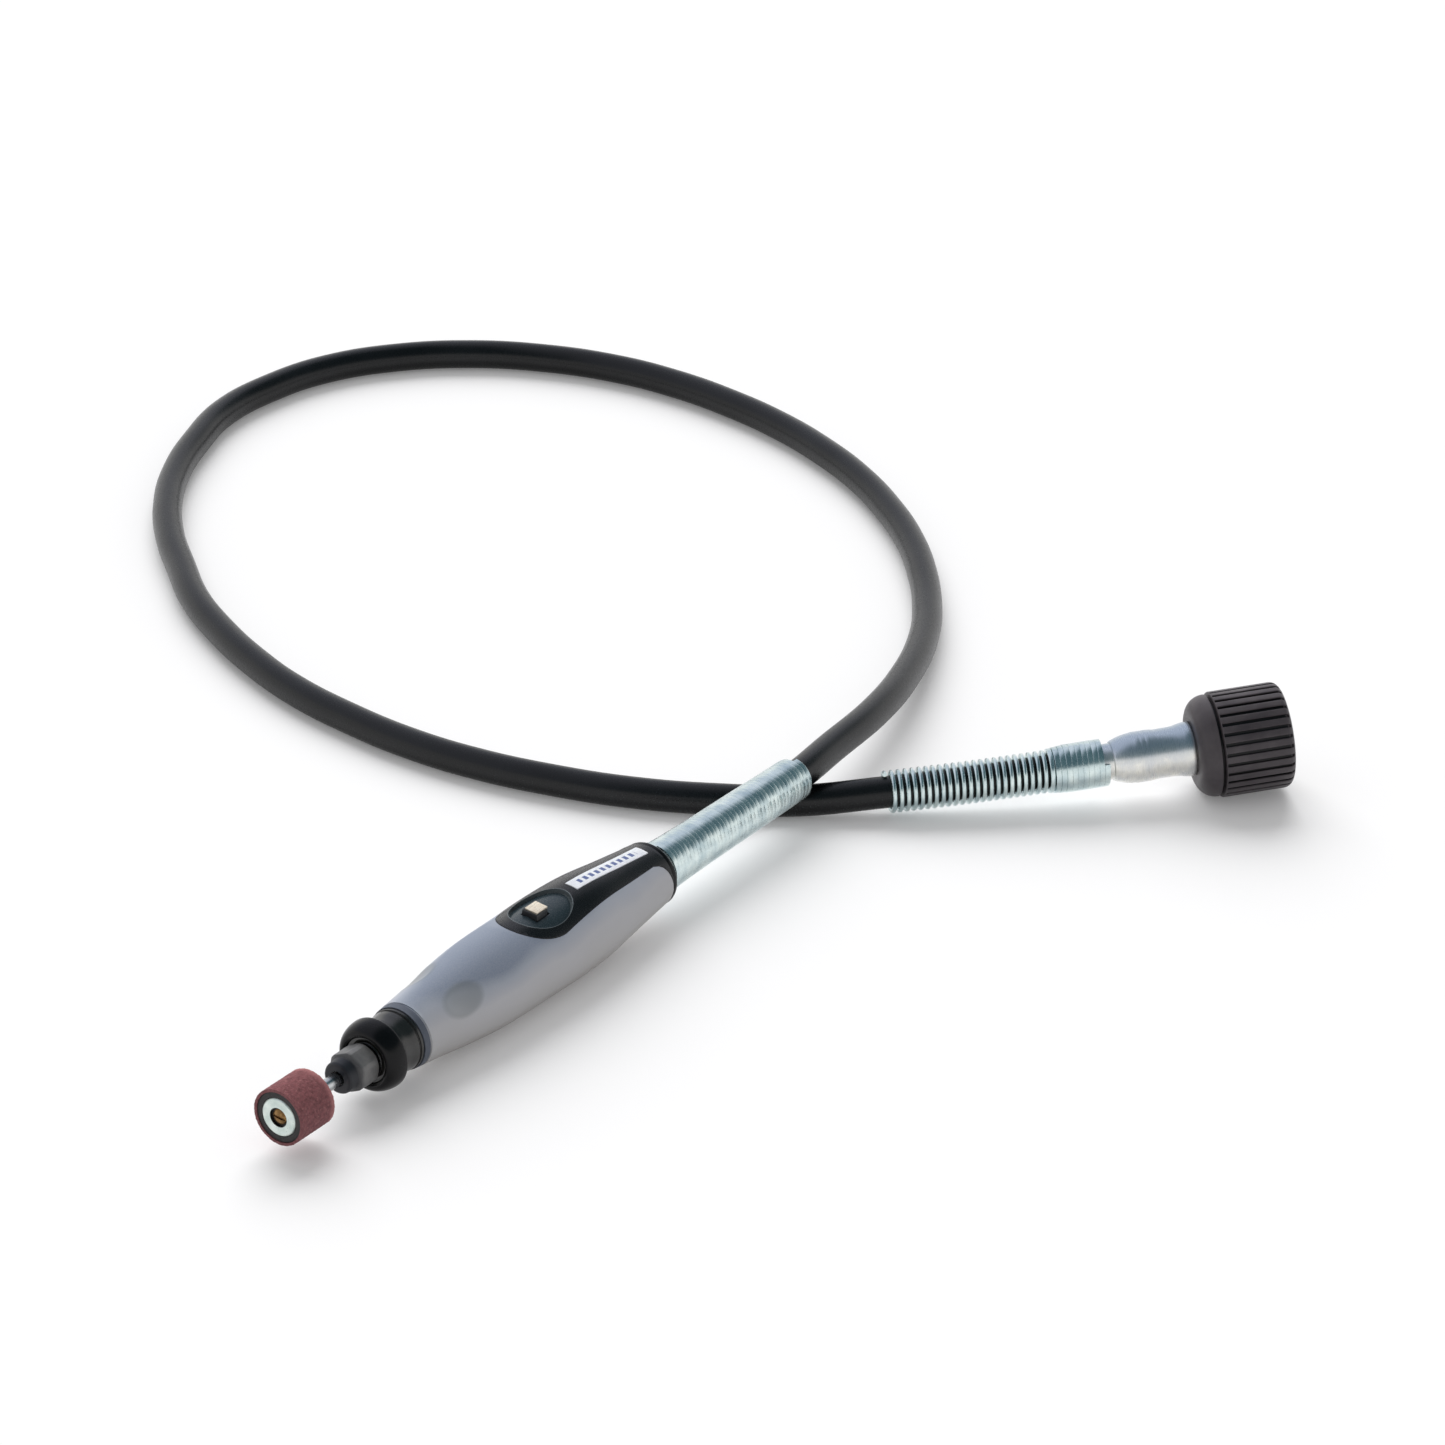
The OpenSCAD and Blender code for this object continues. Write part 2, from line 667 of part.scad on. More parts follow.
// Shapes about a piece's own axis, which runs along X
module in_hand() {
    translate([hand_x, hand_y, hand_z]) rotate([hand_roll, -hand_tilt, 0]) children();
}
module in_coupling() {
    translate([coupling_x, coupling_y, coupling_z]) rotate([0, -coupling_tilt, coupling_yaw]) children();
}
module turned(outline) {
    rotate([0, 90, 0]) rotate_extrude() polygon(outline);
}
module rod(r, from, to) {
    translate([from, 0, 0]) rotate([0, 90, 0]) cylinder(r = r, h = to - from);
}
module ring(r, bore_r, from, to) {
    difference() {
        rod(r, from, to);
        rod(bore_r, from - past, to + past);
    }
}
module post(r, u, low, high) {
    translate([u, 0, low]) cylinder(r = r, h = high - low);
}
module block(u, length, width, low, high) {
    translate([u - length / 2, -width / 2, low]) cube([length, width, high - low]);
}
module square_bar(side, from, to) {
    translate([from, -side / 2, -side / 2]) cube([to - from, side, side]);
}
module circlip(r, bore_r, from, opening) {
    difference() {
        ring(r, bore_r, from, from + clip_t);
        translate([from - past, 0, -opening / 2]) cube([clip_t + 2 * past, r + past, opening]);
    }
}

// Grip outline between two places, outside and inside
function skin(from, to, steps, rise) = [
    for (k = [0 : steps]) let (u = mix(from, to, k / steps)) [grip_r(u) + rise, u]
];
function panel_outline(extra) =
    let (front = panel_wide_u - panel_nose, side = [
        for (k = [0 : 9]) let (turn = 10 * k)
        [panel_wide_u - (panel_nose + extra) * cos(turn), (panel_half + extra) * sin(turn)]
    ])
    concat(
        side,
        [[panel_wide_u, panel_half + extra], [grip_to + extra, panel_tail_half + extra]],
        [[grip_to + extra, -panel_tail_half - extra], [panel_wide_u, -panel_half - extra]],
        [for (k = [9 : -1 : 1]) [side[k][0], -side[k][1]]]
    );
module above(outline) {
    linear_extrude(height = 2 * belly_r) polygon(outline);
}
module panel_ring(rise, sink) {
    from = panel_wide_u - panel_nose - past;
    to = grip_to + past;
    steps = 16;
    turned(concat(
        skin(from, to, steps, rise),
        [for (k = [steps : -1 : 0]) let (u = mix(from, to, k / steps)) [panel_in_r(u) - sink, u]]
    ));
}
module dish() {
    steps = 24;
    dish_from = dish_u - dish_half_length - past;
    dish_to = dish_u + dish_half_length + past;
    intersection() {
        turned(concat(
            [[belly_r + past, dish_from], [belly_r + past, dish_to]],
            [for (k = [12 : -1 : 0]) let (u = mix(dish_from, dish_to, k / 12)) [panel_r(u) - dish_depth, u]]
        ));
        above([
            for (k = [0 : steps - 1])
            [dish_u + dish_half_length * cos(360 * k / steps), dish_half_width * sin(360 * k / steps)]
        ]);
    }
}
module label_ring(rise, sink, side) {
    from = label_from - side;
    to = label_to + side;
    steps = 7;
    intersection() {
        turned(concat(
            skin(from, to, steps, panel_top + rise),
            [for (k = [steps : -1 : 0]) let (u = mix(from, to, k / steps)) [panel_r(u) - sink, u]]
        ));
        above([
            [from, -label_width / 2 - side], [to, -label_width / 2 - side],
            [to, label_width / 2 + side], [from, label_width / 2 + side]
        ]);
    }
}
module dimple(turn) {
    u = grip_from + dimple_at;
    reach = grip_r(u) + dimple_ball - dimple_depth;
    translate([u, -reach * sin(turn), reach * cos(turn)]) sphere(r = dimple_ball);
}

// Handpiece, fixed pieces
module grip_shell() {
    color([0.55, 0.56, 0.6]) in_hand() difference() {
        turned(concat(
            skin(grip_from, grip_to, grip_steps, 0),
            [[grip_bore_r, grip_to], [grip_bore_r, grip_from]]
        ));
        intersection() {
            panel_ring(3, panel_gap);
            above(panel_outline(panel_gap));
        }
        block(
            button_u, button_length + 2 * (button_foot_side + button_room),
            2 * (foot_reach + button_room), lock_flat, 2 * belly_r
        );
        dimple(dimple_turn);
        dimple(-dimple_turn);
    }
}
module top_panel() {
    color([0.09, 0.09, 0.1]) in_hand() difference() {
        intersection() {
            panel_ring(panel_top, 0);
            above(panel_outline(0));
            rod(belly_r + 3, 0, grip_to);
        }
        dish();
        label_ring(past, label_sunk, panel_gap);
        block(button_u, button_length + 2 * button_gap, button_width + 2 * button_gap, 0, 2 * belly_r);
    }
}
module label_plate() {
    color([0.92, 0.93, 0.95]) in_hand() label_ring(label_rise, label_sunk - seat_gap, 0);
}
module tail_ring() {
    hole_r = bush_r + bush_rim + seat_gap;
    color([0.07, 0.07, 0.08]) in_hand() turned([
        [hole_r, ring_from], [grip_tail_r, ring_from], [grip_tail_r, ring_from + ring_flat],
        [tail_ring_back_r, ring_to - ring_round], [tail_ring_back_r - ring_round, ring_to], [hole_r, ring_to]
    ]);
}
module inner_frame() {
    color([0.2, 0.2, 0.22]) in_hand() difference() {
        ring(frame_r, frame_bore_r, frame_from, grip_to);
        block(button_u, 2 * (guide_r + flat_side), 2 * frame_r, lock_flat, 2 * frame_r);
        post(guide_r + seat_fit, button_u, 0, 2 * frame_r);
        for (side = [-1, 1])
            rotate([90 * side, 0, 0]) post(set_screw_r + seat_fit, set_screw_u, 0, 2 * frame_r);
    }
}
module bearing_tube() {
    color([0.66, 0.67, 0.7]) in_hand() difference() {
        ring(tube_r, tube_bore_r, neck_to + seat_gap, tube_to);
        rod(tube_bore_r + groove_depth, clip_from - seat_fit, clip_from + clip_t + seat_fit);
    }
}
module nose_collar() {
    in_r = tube_bore_r - seat_gap;
    collar_room = journal_collar_r + face_gap;
    wall_to = neck_to + chamfer;
    color([0.1, 0.1, 0.1]) in_hand() turned([
        [spindle_hole_r, spigot_from], [spigot_r, spigot_from], [spigot_r, guard_to + seat_gap],
        [neck_r, guard_to + seat_gap], [neck_r - neck_waist, guard_to + neck_length / 4],
        [neck_r - neck_waist / 4, guard_to + neck_length * 0.55],
        [neck_r + neck_ring, neck_to - neck_ring_length], [neck_r + neck_ring, neck_to],
        [in_r, neck_to], [in_r, front_bearing - seat_gap], [collar_room, front_bearing - seat_gap],
        [collar_room, wall_to], [spindle_hole_r, wall_to]
    ]);
}
module guard_flange() {
    hole_r = spigot_r + seat_gap;
    rim = guard_r - guard_lip;
    color([0.05, 0.05, 0.05]) in_hand() turned(concat(
        [[hole_r, guard_from + guard_dish], [rim - guard_web, guard_from + guard_step]],
        [for (k = [0 : 6])
            let (turn = -90 + 30 * k, reach = k < 3 ? guard_crest - guard_from : guard_to - guard_crest)
            [rim + guard_lip * cos(turn), guard_crest + reach * sin(turn)]],
        [[hole_r, guard_to]]
    ));
}
module race(r, bore_r, from) {
    rotate([0, 90, 0]) translate([0, 0, from]) difference() {
        cylinder(r = r, h = bearing_t);
        translate([0, 0, -past]) cylinder(r = bore_r, h = bearing_t + 2 * past);
        translate([0, 0, bearing_t / 2]) rotate_extrude()
            translate([ball_circle, 0]) circle(r = ball_groove_r);
    }
}
module balls(from) {
    for (k = [0 : ball_count - 1])
        rotate([360 * k / ball_count, 0, 0])
            translate([from + bearing_t / 2, 0, ball_circle]) sphere(r = ball_r);
}
module front_race_outer() {
    color([0.75, 0.76, 0.78]) in_hand() race(bearing_r, bearing_r - race_t, front_bearing);
}
module rear_race_outer() {
    color([0.75, 0.76, 0.78]) in_hand() race(bearing_r, bearing_r - race_t, rear_bearing);
}
module front_balls() {
    color([0.85, 0.85, 0.87]) in_hand() balls(front_bearing);
}
module rear_balls() {
    color([0.85, 0.85, 0.87]) in_hand() balls(rear_bearing);
}
module outer_spacer() {
    color([0.6, 0.61, 0.63]) in_hand()
        ring(bearing_r, bearing_r - race_t - 0.3, front_bearing_to + seat_gap, rear_bearing - seat_gap);
}
module wave_washer() {
    color([0.5, 0.5, 0.52]) in_hand() ring(bearing_r, bearing_r - race_t, wave_from, wave_from + wave_t);
}
module tube_clip() {
    color([0.35, 0.35, 0.37]) in_hand()
        circlip(tube_bore_r + groove_depth - seat_fit, bearing_r - clip_lap, clip_from, clip_opening);
}
module pin_guide() {
    color([0.75, 0.6, 0.3]) in_hand() difference() {
        post(guide_r, button_u, guide_bottom, guide_top);
        post(pin_r + run_fit, button_u, 0, 2 * guide_top);
    }
}
module lock_spring() {
    color([0.7, 0.71, 0.73]) in_hand() translate([button_u, 0, guide_top + seat_gap + lock_wire / 2])
        rotate([0, -90, 0]) coil(
            "lock_spring", [[0, 0], [lock_turns, lock_height - lock_wire]],
            [[0, lock_spring_r + lock_wire / 2], [lock_height, lock_spring_r + lock_wire / 2]], lock_wire / 2
        );
}
module set_screws() {
    color([0.15, 0.15, 0.16]) in_hand() for (side = [-1, 1]) rotate([90 * side, 0, 0]) difference() {
        post(set_screw_r, set_screw_u, bush_r - set_screw_bite + seat_gap, set_screw_top);
        translate([set_screw_u, 0, set_screw_top - set_screw_socket_depth])
            cylinder(r = set_screw_socket_r, h = set_screw_socket_depth + past, $fn = 6);
    }
}
module tail_bush() {
    color([0.7, 0.71, 0.73]) in_hand() difference() {
        turned([
            [core_bore_r, bush_from], [bush_r, bush_from], [bush_r, ring_from + seat_gap],
            [bush_r + bush_rim, ring_from + seat_gap], [bush_r + bush_rim, bush_flange_to],
            [bush_spigot_r, bush_flange_to], [bush_spigot_r, bush_flange_to + bush_spigot_length],
            [casing_bore_r, bush_flange_to + bush_spigot_length], [casing_bore_r, casing_start - seat_gap],
            [core_bore_r, casing_start - seat_gap]
        ]);
        for (side = [-1, 1])
            rotate([90 * side, 0, 0])
                post(set_screw_r + seat_fit, set_screw_u, bush_r - set_screw_bite, 2 * bush_r);
    }
}
module tail_spring() {
    color([0.72, 0.75, 0.77]) in_hand() coil(
        "tail_spring", [[0, tail_spring_from], [tail_turns, tail_spring_to]],
        [
            [tail_spring_from, tail_base_r],
            [mix(tail_spring_from, tail_spring_to, tail_taper_share), tail_mid_r],
            [tail_spring_to, tail_end_r]
        ],
        wire_r
    );
}

// Flexible shaft
module sheath() {
    color([0.11, 0.12, 0.14]) swept_tube(casing_route, casing_r, casing_r - cover_wall, cover_sides);
}
module casing_liner() {
    liner_r = (casing_r - cover_wall) * cos(180 / cover_sides) - 0.1;
    color([0.55, 0.56, 0.58]) swept_tube(casing_route, liner_r, liner_r - liner_wall, core_sides);
}
module drive_core() {
    color([0.5, 0.5, 0.5]) swept_rod(core_route, core_r, core_sides);
}

// Machine end, fixed pieces
module machine_spring() {
    color([0.72, 0.75, 0.77]) in_coupling() coil(
        "machine_spring",
        [
            [0, wire_r], [open_turns, open_to],
            [open_turns + close_turns, machine_spring_to - wire_r]
        ],
        [
            [0, machine_end_r], [open_to - flare_length / 2, machine_end_r],
            [open_to + flare_length / 2, machine_base_r], [machine_spring_to, machine_base_r]
        ],
        wire_r, leans = true
    );
}
module casing_ferrule() {
    bore_r = bushing_r + seat_fit;
    color([0.76, 0.78, 0.8]) in_coupling() difference() {
        turned([
            [casing_bore_r, sleeve_from], [sleeve_r, sleeve_from],
            [sleeve_r, cone_from], [sleeve_r + cone_step, cone_from],
            [barrel_r, cone_end], [crimp_r, cone_end + crimp_round],
            [crimp_r, crimp_to], [barrel_r, crimp_to + crimp_round],
            [barrel_r, shoulder_from],
            [shoulder_r, shoulder_from + shoulder_round], [shoulder_r, shoulder_to],
            [barrel_r, shoulder_to], [barrel_r, barrel_to], [bore_r, barrel_to], [bore_r, bushing_from],
            [core_bore_r, bushing_from], [core_bore_r, casing_end + seat_gap],
            [casing_bore_r, casing_end + seat_gap]
        ]);
        ring(barrel_r + past, barrel_r - groove_depth, coupling_clip_from - seat_fit,
            coupling_clip_from + clip_t + seat_fit);
    }
}
module ferrule_bushing() {
    color([0.7, 0.5, 0.28]) in_coupling()
        ring(bushing_r, tip_journal_r + run_fit, bushing_from + seat_gap, bushing_to);
}
module coupling_clip() {
    color([0.35, 0.35, 0.37]) in_coupling()
        circlip(coupling_clip_r, barrel_r - groove_depth + seat_fit, coupling_clip_from, 2 * clip_opening);
}

// Spindle
module spindle() {
    seat_from = nut_to + chamfer;
    collar_from = front_bearing - journal_collar_t;
    mouth_r = collet_r + run_fit;
    color([0.7, 0.71, 0.73]) in_hand() difference() {
        turned([
            [0, spindle_from], [nose_thread_r, spindle_from],
            [nose_thread_r, seat_from], [spindle_r, seat_from],
            [spindle_r, collar_from], [journal_collar_r, collar_from],
            [journal_collar_r, front_bearing - seat_gap], [spindle_r, front_bearing - seat_gap],
            [spindle_r, clip_from + clip_t], [spindle_tail_r, clip_from + clip_t],
            [spindle_tail_r, spindle_to], [0, spindle_to]
        ]);
        rod(mouth_r, spindle_from - past, collet_to + 1);
        rod(shank_bore_r, spindle_from, shank_bore_to);
        square_bar(socket_side, socket_from, spindle_to + past);
        for (turn = [0 : 90 : 270])
            rotate([turn, 0, 0]) post(pin_hole_r, button_u, pin_hole_floor, 2 * spindle_r);
        ring(spindle_r + past, spindle_r - groove_depth, wave_from - seat_fit, wave_from + clip_t + seat_fit);
    }
}
module front_race_inner() {
    color([0.75, 0.76, 0.78]) in_hand() race(spindle_r + race_t, spindle_r + seat_fit, front_bearing);
}
module rear_race_inner() {
    color([0.75, 0.76, 0.78]) in_hand() race(spindle_r + race_t, spindle_r + seat_fit, rear_bearing);
}
module inner_spacer() {
    color([0.6, 0.61, 0.63]) in_hand()
        ring(spindle_r + race_t, spindle_r + seat_fit, front_bearing_to + seat_gap, rear_bearing - seat_gap);
}
module spindle_clip() {
    color([0.35, 0.35, 0.37]) in_hand()
        circlip(spindle_r + race_t, spindle_r - groove_depth + seat_fit, wave_from, clip_opening);
}
module core_end() {
    color([0.55, 0.55, 0.56]) in_hand() {
        square_bar(drive_square, core_end_from, core_neck_from + core_neck_t / 2);
        rod(core_neck_r, core_neck_from, core_neck_from + core_neck_t);
    }
}

// Tool holding
module collet() {
    grip_bore = shank_r + run_fit / 2;
    color([0.6, 0.6, 0.6]) in_hand() difference() {
        turned([
            [grip_bore, collet_from], [collet_tip_r, collet_from], [collet_head_r, cone_to - collet_rim],
            [collet_head_r, cone_to], [collet_r, cone_to], [collet_r, collet_to], [grip_bore, collet_to]
        ]);
        for (turn = [45, 135]) rotate([turn, 0, 0])
            translate([collet_from - past, -collet_slot / 2, -past - collet_head_r])
                cube([collet_slot_to - collet_from + past, collet_slot, 2 * (past + collet_head_r)]);
    }
}
module collet_nut() {
    nose_to = nut_from + nut_nose_length;
    flat_count = 6;
    color([0.3, 0.3, 0.31]) in_hand() difference() {
        intersection() {
            turned([
                [0, nut_from], [nut_nose_r - nut_nose_round, nut_from],
                [nut_nose_r, nut_from + nut_nose_round], [nut_nose_r + nut_nose_step, nose_to],
                [nut_r, nose_to + nut_shoulder], [nut_r, nut_to - chamfer],
                [nut_r - chamfer, nut_to], [0, nut_to]
            ]);
            translate([nut_from - past, 0, 0]) rotate([0, 90, 0])
                cylinder(
                    r = nut_flats / 2 / cos(180 / flat_count), h = nut_length + 2 * past, $fn = flat_count
                );
        }
        rod(nut_hole_r, nut_from - past, nut_to);
        turned([
            [0, collet_from - cone_fit], [collet_tip_r + cone_fit, collet_from - cone_fit],
            [collet_head_r + cone_fit, cone_to - collet_rim - cone_fit],
            [collet_head_r + cone_fit, cone_to + cone_fit], [0, cone_to + cone_fit]
        ]);
        rod(nose_thread_r + run_fit, cone_to, nut_to + past);
    }
}
module mandrel() {
    color([0.72, 0.73, 0.75]) in_hand() difference() {
        turned([
            [0, hub_from], [hub_r, hub_from], [hub_r, flange_from],
            [washer_r, flange_from], [washer_r, flange_to], [shank_r, flange_to],
            [shank_r, shank_to - chamfer], [shank_r - chamfer, shank_to], [0, shank_to]
        ]);
        rod(screw_r + run_fit, hub_from - past, screw_to + screw_hole_spare);
    }
}
module rubber_drum() {
    color([0.09, 0.08, 0.08]) in_hand() turned([
        [hub_r + band_fit, washer_t + seat_gap], [washer_r + band_fit, washer_t + seat_gap],
        [washer_r + band_fit, rubber_inset], [rubber_r, rubber_inset], [rubber_r, rubber_to],
        [hub_r + band_fit, rubber_to]
    ]);
}
module front_washer() {
    color([0.86, 0.88, 0.88]) in_hand() difference() {
        ring(washer_r, washer_hole_r, 0, washer_t);
        rod(washer_bore_r, -past, screw_seat + seat_gap);
    }
}
module drum_screw() {
    color([0.62, 0.45, 0.25]) in_hand() difference() {
        union() {
            rod(screw_head_r, screw_top, screw_seat);
            rod(screw_r, screw_seat, screw_to);
        }
        translate([screw_top - past, -screw_head_r - past, -screw_slot / 2])
            cube([past + screw_slot_depth, 2 * (screw_head_r + past), screw_slot]);
    }
}
module sanding_band() {
    color([0.46, 0.27, 0.26]) in_hand() ring(band_r, band_r - band_wall, 0, band_length);
}

// Shaft lock
module lock_button() {
    well_top = spring_well_top;
    color([0.12, 0.12, 0.13]) in_hand() difference() {
        union() {
            block(button_u, button_length, button_width, foot_bottom, button_top - cap_t);
            block(button_u, button_length + 2 * button_foot_side, 2 * foot_reach, foot_bottom, foot_top);
        }
        post(spring_well_r, button_u, 0, well_top);
        post(pin_r + seat_fit, button_u, 0, pin_top + seat_gap);
        translate([button_u + button_length / 2 - cap_t - seat_fit, -button_width, foot_top])
            cube([past, 2 * button_width, 2 * belly_r]);
    }
}
module button_cap() {
    color([0.85, 0.8, 0.7]) in_hand() {
        block(button_u, button_length, button_width, button_top - cap_t, button_top);
        translate([button_u + button_length / 2 - cap_t, -button_width / 2, foot_top + seat_gap])
            cube([cap_t, button_width, button_top - foot_top - seat_gap]);
    }
}
module lock_pin() {
    color([0.7, 0.71, 0.73]) in_hand() post(pin_r, button_u, pin_rest, pin_top);
}

// Coupling nut and driving end
module coupling_nut() {
    seam_from = rib_from - knob_seam;
    seam_r = knob_collar_r - knob_seam_depth;
    dome_r = knob_collar_r - knob_dome;
    groove_line = knob_r + rib_groove_r - rib_groove_depth;
    color([0.22, 0.2, 0.21]) in_coupling() difference() {
        turned(concat(
            [[knob_hole_r, knob_from], [dome_r, knob_from]],
            [for (k = [1 : 5]) let (turn = 18 * k)
                [dome_r + knob_dome * sin(turn), knob_from + knob_dome_length * (1 - cos(turn))]],
            [[knob_collar_r, seam_from], [seam_r, seam_from], [seam_r, rib_from]],
            [[knob_r, rib_from], [knob_r, knob_to - knob_rim]],
            [for (k = [1 : 4]) let (turn = 22.5 * k)
                [knob_r - knob_rim + knob_rim * cos(turn), knob_to - knob_rim + knob_rim * sin(turn)]],
            [[insert_r, knob_to], [insert_r, insert_from - seat_gap], [knob_room_r, insert_from - seat_gap]],
            [[knob_room_r, knob_room_from], [knob_hole_r, knob_room_from]]
        ));
        for (k = [0 : rib_count - 1]) rotate([360 * k / rib_count, 0, 0]) translate([0, 0, groove_line])
            rod(rib_groove_r, rib_from + rib_land, knob_to + past);
    }
}
module thread_insert() {
    color([0.78, 0.66, 0.38]) in_coupling() ring(insert_r - seat_fit, thread_r, insert_from, insert_to);
}
module drive_tip() {
    color([0.55, 0.55, 0.56]) in_coupling() {
        rod(tip_journal_r, tip_from, tip_collar_from);
        rod(tip_collar_r, tip_collar_from, tip_collar_from + tip_collar_t);
        square_bar(drive_square, tip_collar_from + tip_collar_t / 2, tip_to);
    }
}

grip_shell();
top_panel();
label_plate();
tail_ring();
inner_frame();
bearing_tube();
nose_collar();
guard_flange();
front_race_outer();
front_balls();
rear_race_outer();
rear_balls();
outer_spacer();
wave_washer();
tube_clip();
pin_guide();
lock_spring();
set_screws();
tail_bush();
tail_spring();
sheath();
casing_liner();
drive_core();
machine_spring();
casing_ferrule();
ferrule_bushing();
coupling_clip();
spindle();
front_race_inner();
rear_race_inner();
inner_spacer();
spindle_clip();
core_end();
collet();
collet_nut();
mandrel();
rubber_drum();
front_washer();
drum_screw();
sanding_band();
lock_button();
button_cap();
lock_pin();
coupling_nut();
thread_insert();
drive_tip();
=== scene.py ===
import json
import math

import bpy
from mathutils import Matrix, Vector


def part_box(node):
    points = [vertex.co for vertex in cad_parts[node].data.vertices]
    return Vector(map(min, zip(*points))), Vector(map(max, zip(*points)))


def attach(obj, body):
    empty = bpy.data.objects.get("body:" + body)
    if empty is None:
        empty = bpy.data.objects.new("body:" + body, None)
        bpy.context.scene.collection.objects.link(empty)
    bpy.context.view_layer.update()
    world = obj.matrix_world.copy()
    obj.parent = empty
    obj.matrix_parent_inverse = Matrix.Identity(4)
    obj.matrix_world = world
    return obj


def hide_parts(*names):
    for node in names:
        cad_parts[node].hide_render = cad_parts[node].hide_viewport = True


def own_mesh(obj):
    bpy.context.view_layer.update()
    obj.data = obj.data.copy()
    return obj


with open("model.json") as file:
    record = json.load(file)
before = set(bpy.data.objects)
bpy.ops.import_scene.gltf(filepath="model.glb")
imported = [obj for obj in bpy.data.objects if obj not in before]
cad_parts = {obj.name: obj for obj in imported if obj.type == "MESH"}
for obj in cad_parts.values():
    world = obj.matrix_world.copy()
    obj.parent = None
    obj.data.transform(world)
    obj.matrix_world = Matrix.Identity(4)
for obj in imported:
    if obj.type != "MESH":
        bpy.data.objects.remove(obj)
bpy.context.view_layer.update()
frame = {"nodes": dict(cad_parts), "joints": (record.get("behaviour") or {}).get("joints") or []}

# Flexible-shaft attachment of a rotary tool. Its pieces are modelled in millimetres about their own
# axis, which runs along X, and are then set into the handpiece or into the coupling.

mm = 0.001
joints = {joint["name"]: joint for joint in frame["joints"]}
print("stage: frame loaded")


def middleOf(nodeName):
    low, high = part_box(nodeName)
    return (Vector(low) + Vector(high)) / 2


def placeOf(axis, up, middle, along):
    side = up.cross(axis).normalized()
    turn = Matrix((axis, side, axis.cross(side))).transposed().to_4x4()
    return Matrix.Translation(middle - axis * along * mm) @ turn @ Matrix.Scale(mm, 4)


# the middle of the band counted from the drum's face, and of the thread from the spring's free end
alongAxis = {"bandMiddle": 5.75, "threadMiddle": 94.25}
inHand = placeOf(
    Vector(joints["spindle_spin"]["axis"]).normalized(),
    -Vector(joints["lock_press"]["axis"]).normalized(),
    middleOf("sanding_band"), alongAxis["bandMiddle"])
inCoupling = placeOf(
    Vector(joints["coupling_turn"]["axis"]).normalized(), Vector((0, 0, 1)),
    middleOf("thread_insert"), alongAxis["threadMiddle"])


def pointsOf(nodeName, place):
    back = place.inverted()
    return [back @ vertex.co for vertex in frame["nodes"][nodeName].data.vertices]


# first place, last place and largest radius of a CAD node about its own axis, in millimetres
def reachOf(nodeName, place):
    points = pointsOf(nodeName, place)
    return (min(point.x for point in points), max(point.x for point in points),
            max(math.hypot(point.y, point.z) for point in points))


def heightsOf(nodeName):
    heights = [point.z for point in pointsOf(nodeName, inHand)]
    return min(heights), max(heights)


# a value between listed ones, as [place, value] pairs
def between(pairs, place):
    for (low, lowValue), (high, highValue) in zip(pairs, pairs[1:]):
        if place <= high:
            return lowValue + (highValue - lowValue) * max(0, place - low) / (high - low)
    return pairs[-1][1]


def evenly(start, end, steps):
    return [start + (end - start) * k / steps for k in range(steps + 1)]


# points on a stretch of an ellipse, from one turn to another, in degrees
def arc(middle, halves, start, end, steps):
    turns = [math.radians(turn) for turn in evenly(start, end, steps)]
    return [(middle[0] + halves[0] * math.cos(turn), middle[1] + halves[1] * math.sin(turn))
            for turn in turns]


# an outline moved along the axis
def shifted(start, outline):
    return [(start + place, out) for place, out in outline]


def deselectAll():
    if bpy.context.object and bpy.context.object.mode != "OBJECT":
        bpy.ops.object.mode_set(mode="OBJECT")
    bpy.ops.object.select_all(action="DESELECT")


def added(name, data):
    piece = bpy.data.objects.new(name, data)
    bpy.context.scene.collection.objects.link(piece)
    return piece


def editAll(action):
    bpy.ops.object.mode_set(mode="EDIT")
    bpy.ops.mesh.select_all(action=action)


def pick(piece):
    deselectAll()
    piece.select_set(True)
    bpy.context.view_layer.objects.active = piece


# one vertex, in edit mode, ready to be extruded along an outline
def startAt(name, point):
    deselectAll()
    bpy.ops.mesh.primitive_plane_add(size=1, location=(0, 0, 0))
    piece = bpy.context.object
    piece.name = piece.data.name = name
    editAll("SELECT")
    bpy.ops.mesh.merge(type="CENTER")
    bpy.ops.transform.translate(value=point)
    return piece


mergeWithin = 0.0005


def extrudeAlong(points):
    for here, there in zip(points, points[1:]):
        step = [b - a for a, b in zip(here, there)]
        bpy.ops.mesh.extrude_vertices_move(TRANSFORM_OT_translate={"value": step})
    bpy.ops.mesh.select_all(action="SELECT")
    bpy.ops.mesh.remove_doubles(threshold=mergeWithin)


def facesOut():
    bpy.ops.mesh.select_all(action="SELECT")
    bpy.ops.mesh.normals_make_consistent(inside=False)
    bpy.ops.object.mode_set(mode="OBJECT")


# an outline of [along, out] points, spun about X; an open one starts and ends on the axis
def turned(name, outline, steps=128, closed=True):
    points = [(place, 0, out) for place, out in outline]
    if closed:
        points.append(points[0])
    piece = startAt(name, points[0])
    extrudeAlong(points)
    bpy.ops.mesh.spin(steps=steps, angle=2 * math.pi, center=(0, 0, 0), axis=(1, 0, 0))
    bpy.ops.mesh.select_all(action="SELECT")
    bpy.ops.mesh.remove_doubles(threshold=mergeWithin)
    facesOut()
    return piece


# a flat outline of [x, y] points, raised from one height to another
def raised(name, outline, low, high):
    points = [(x, y, low) for x, y in outline]
    piece = startAt(name, points[0])
    extrudeAlong(points + points[:1])
    bpy.ops.mesh.edge_face_add()
    bpy.ops.mesh.extrude_region_move(TRANSFORM_OT_translate={"value": (0, 0, high - low)})
    facesOut()
    return piece


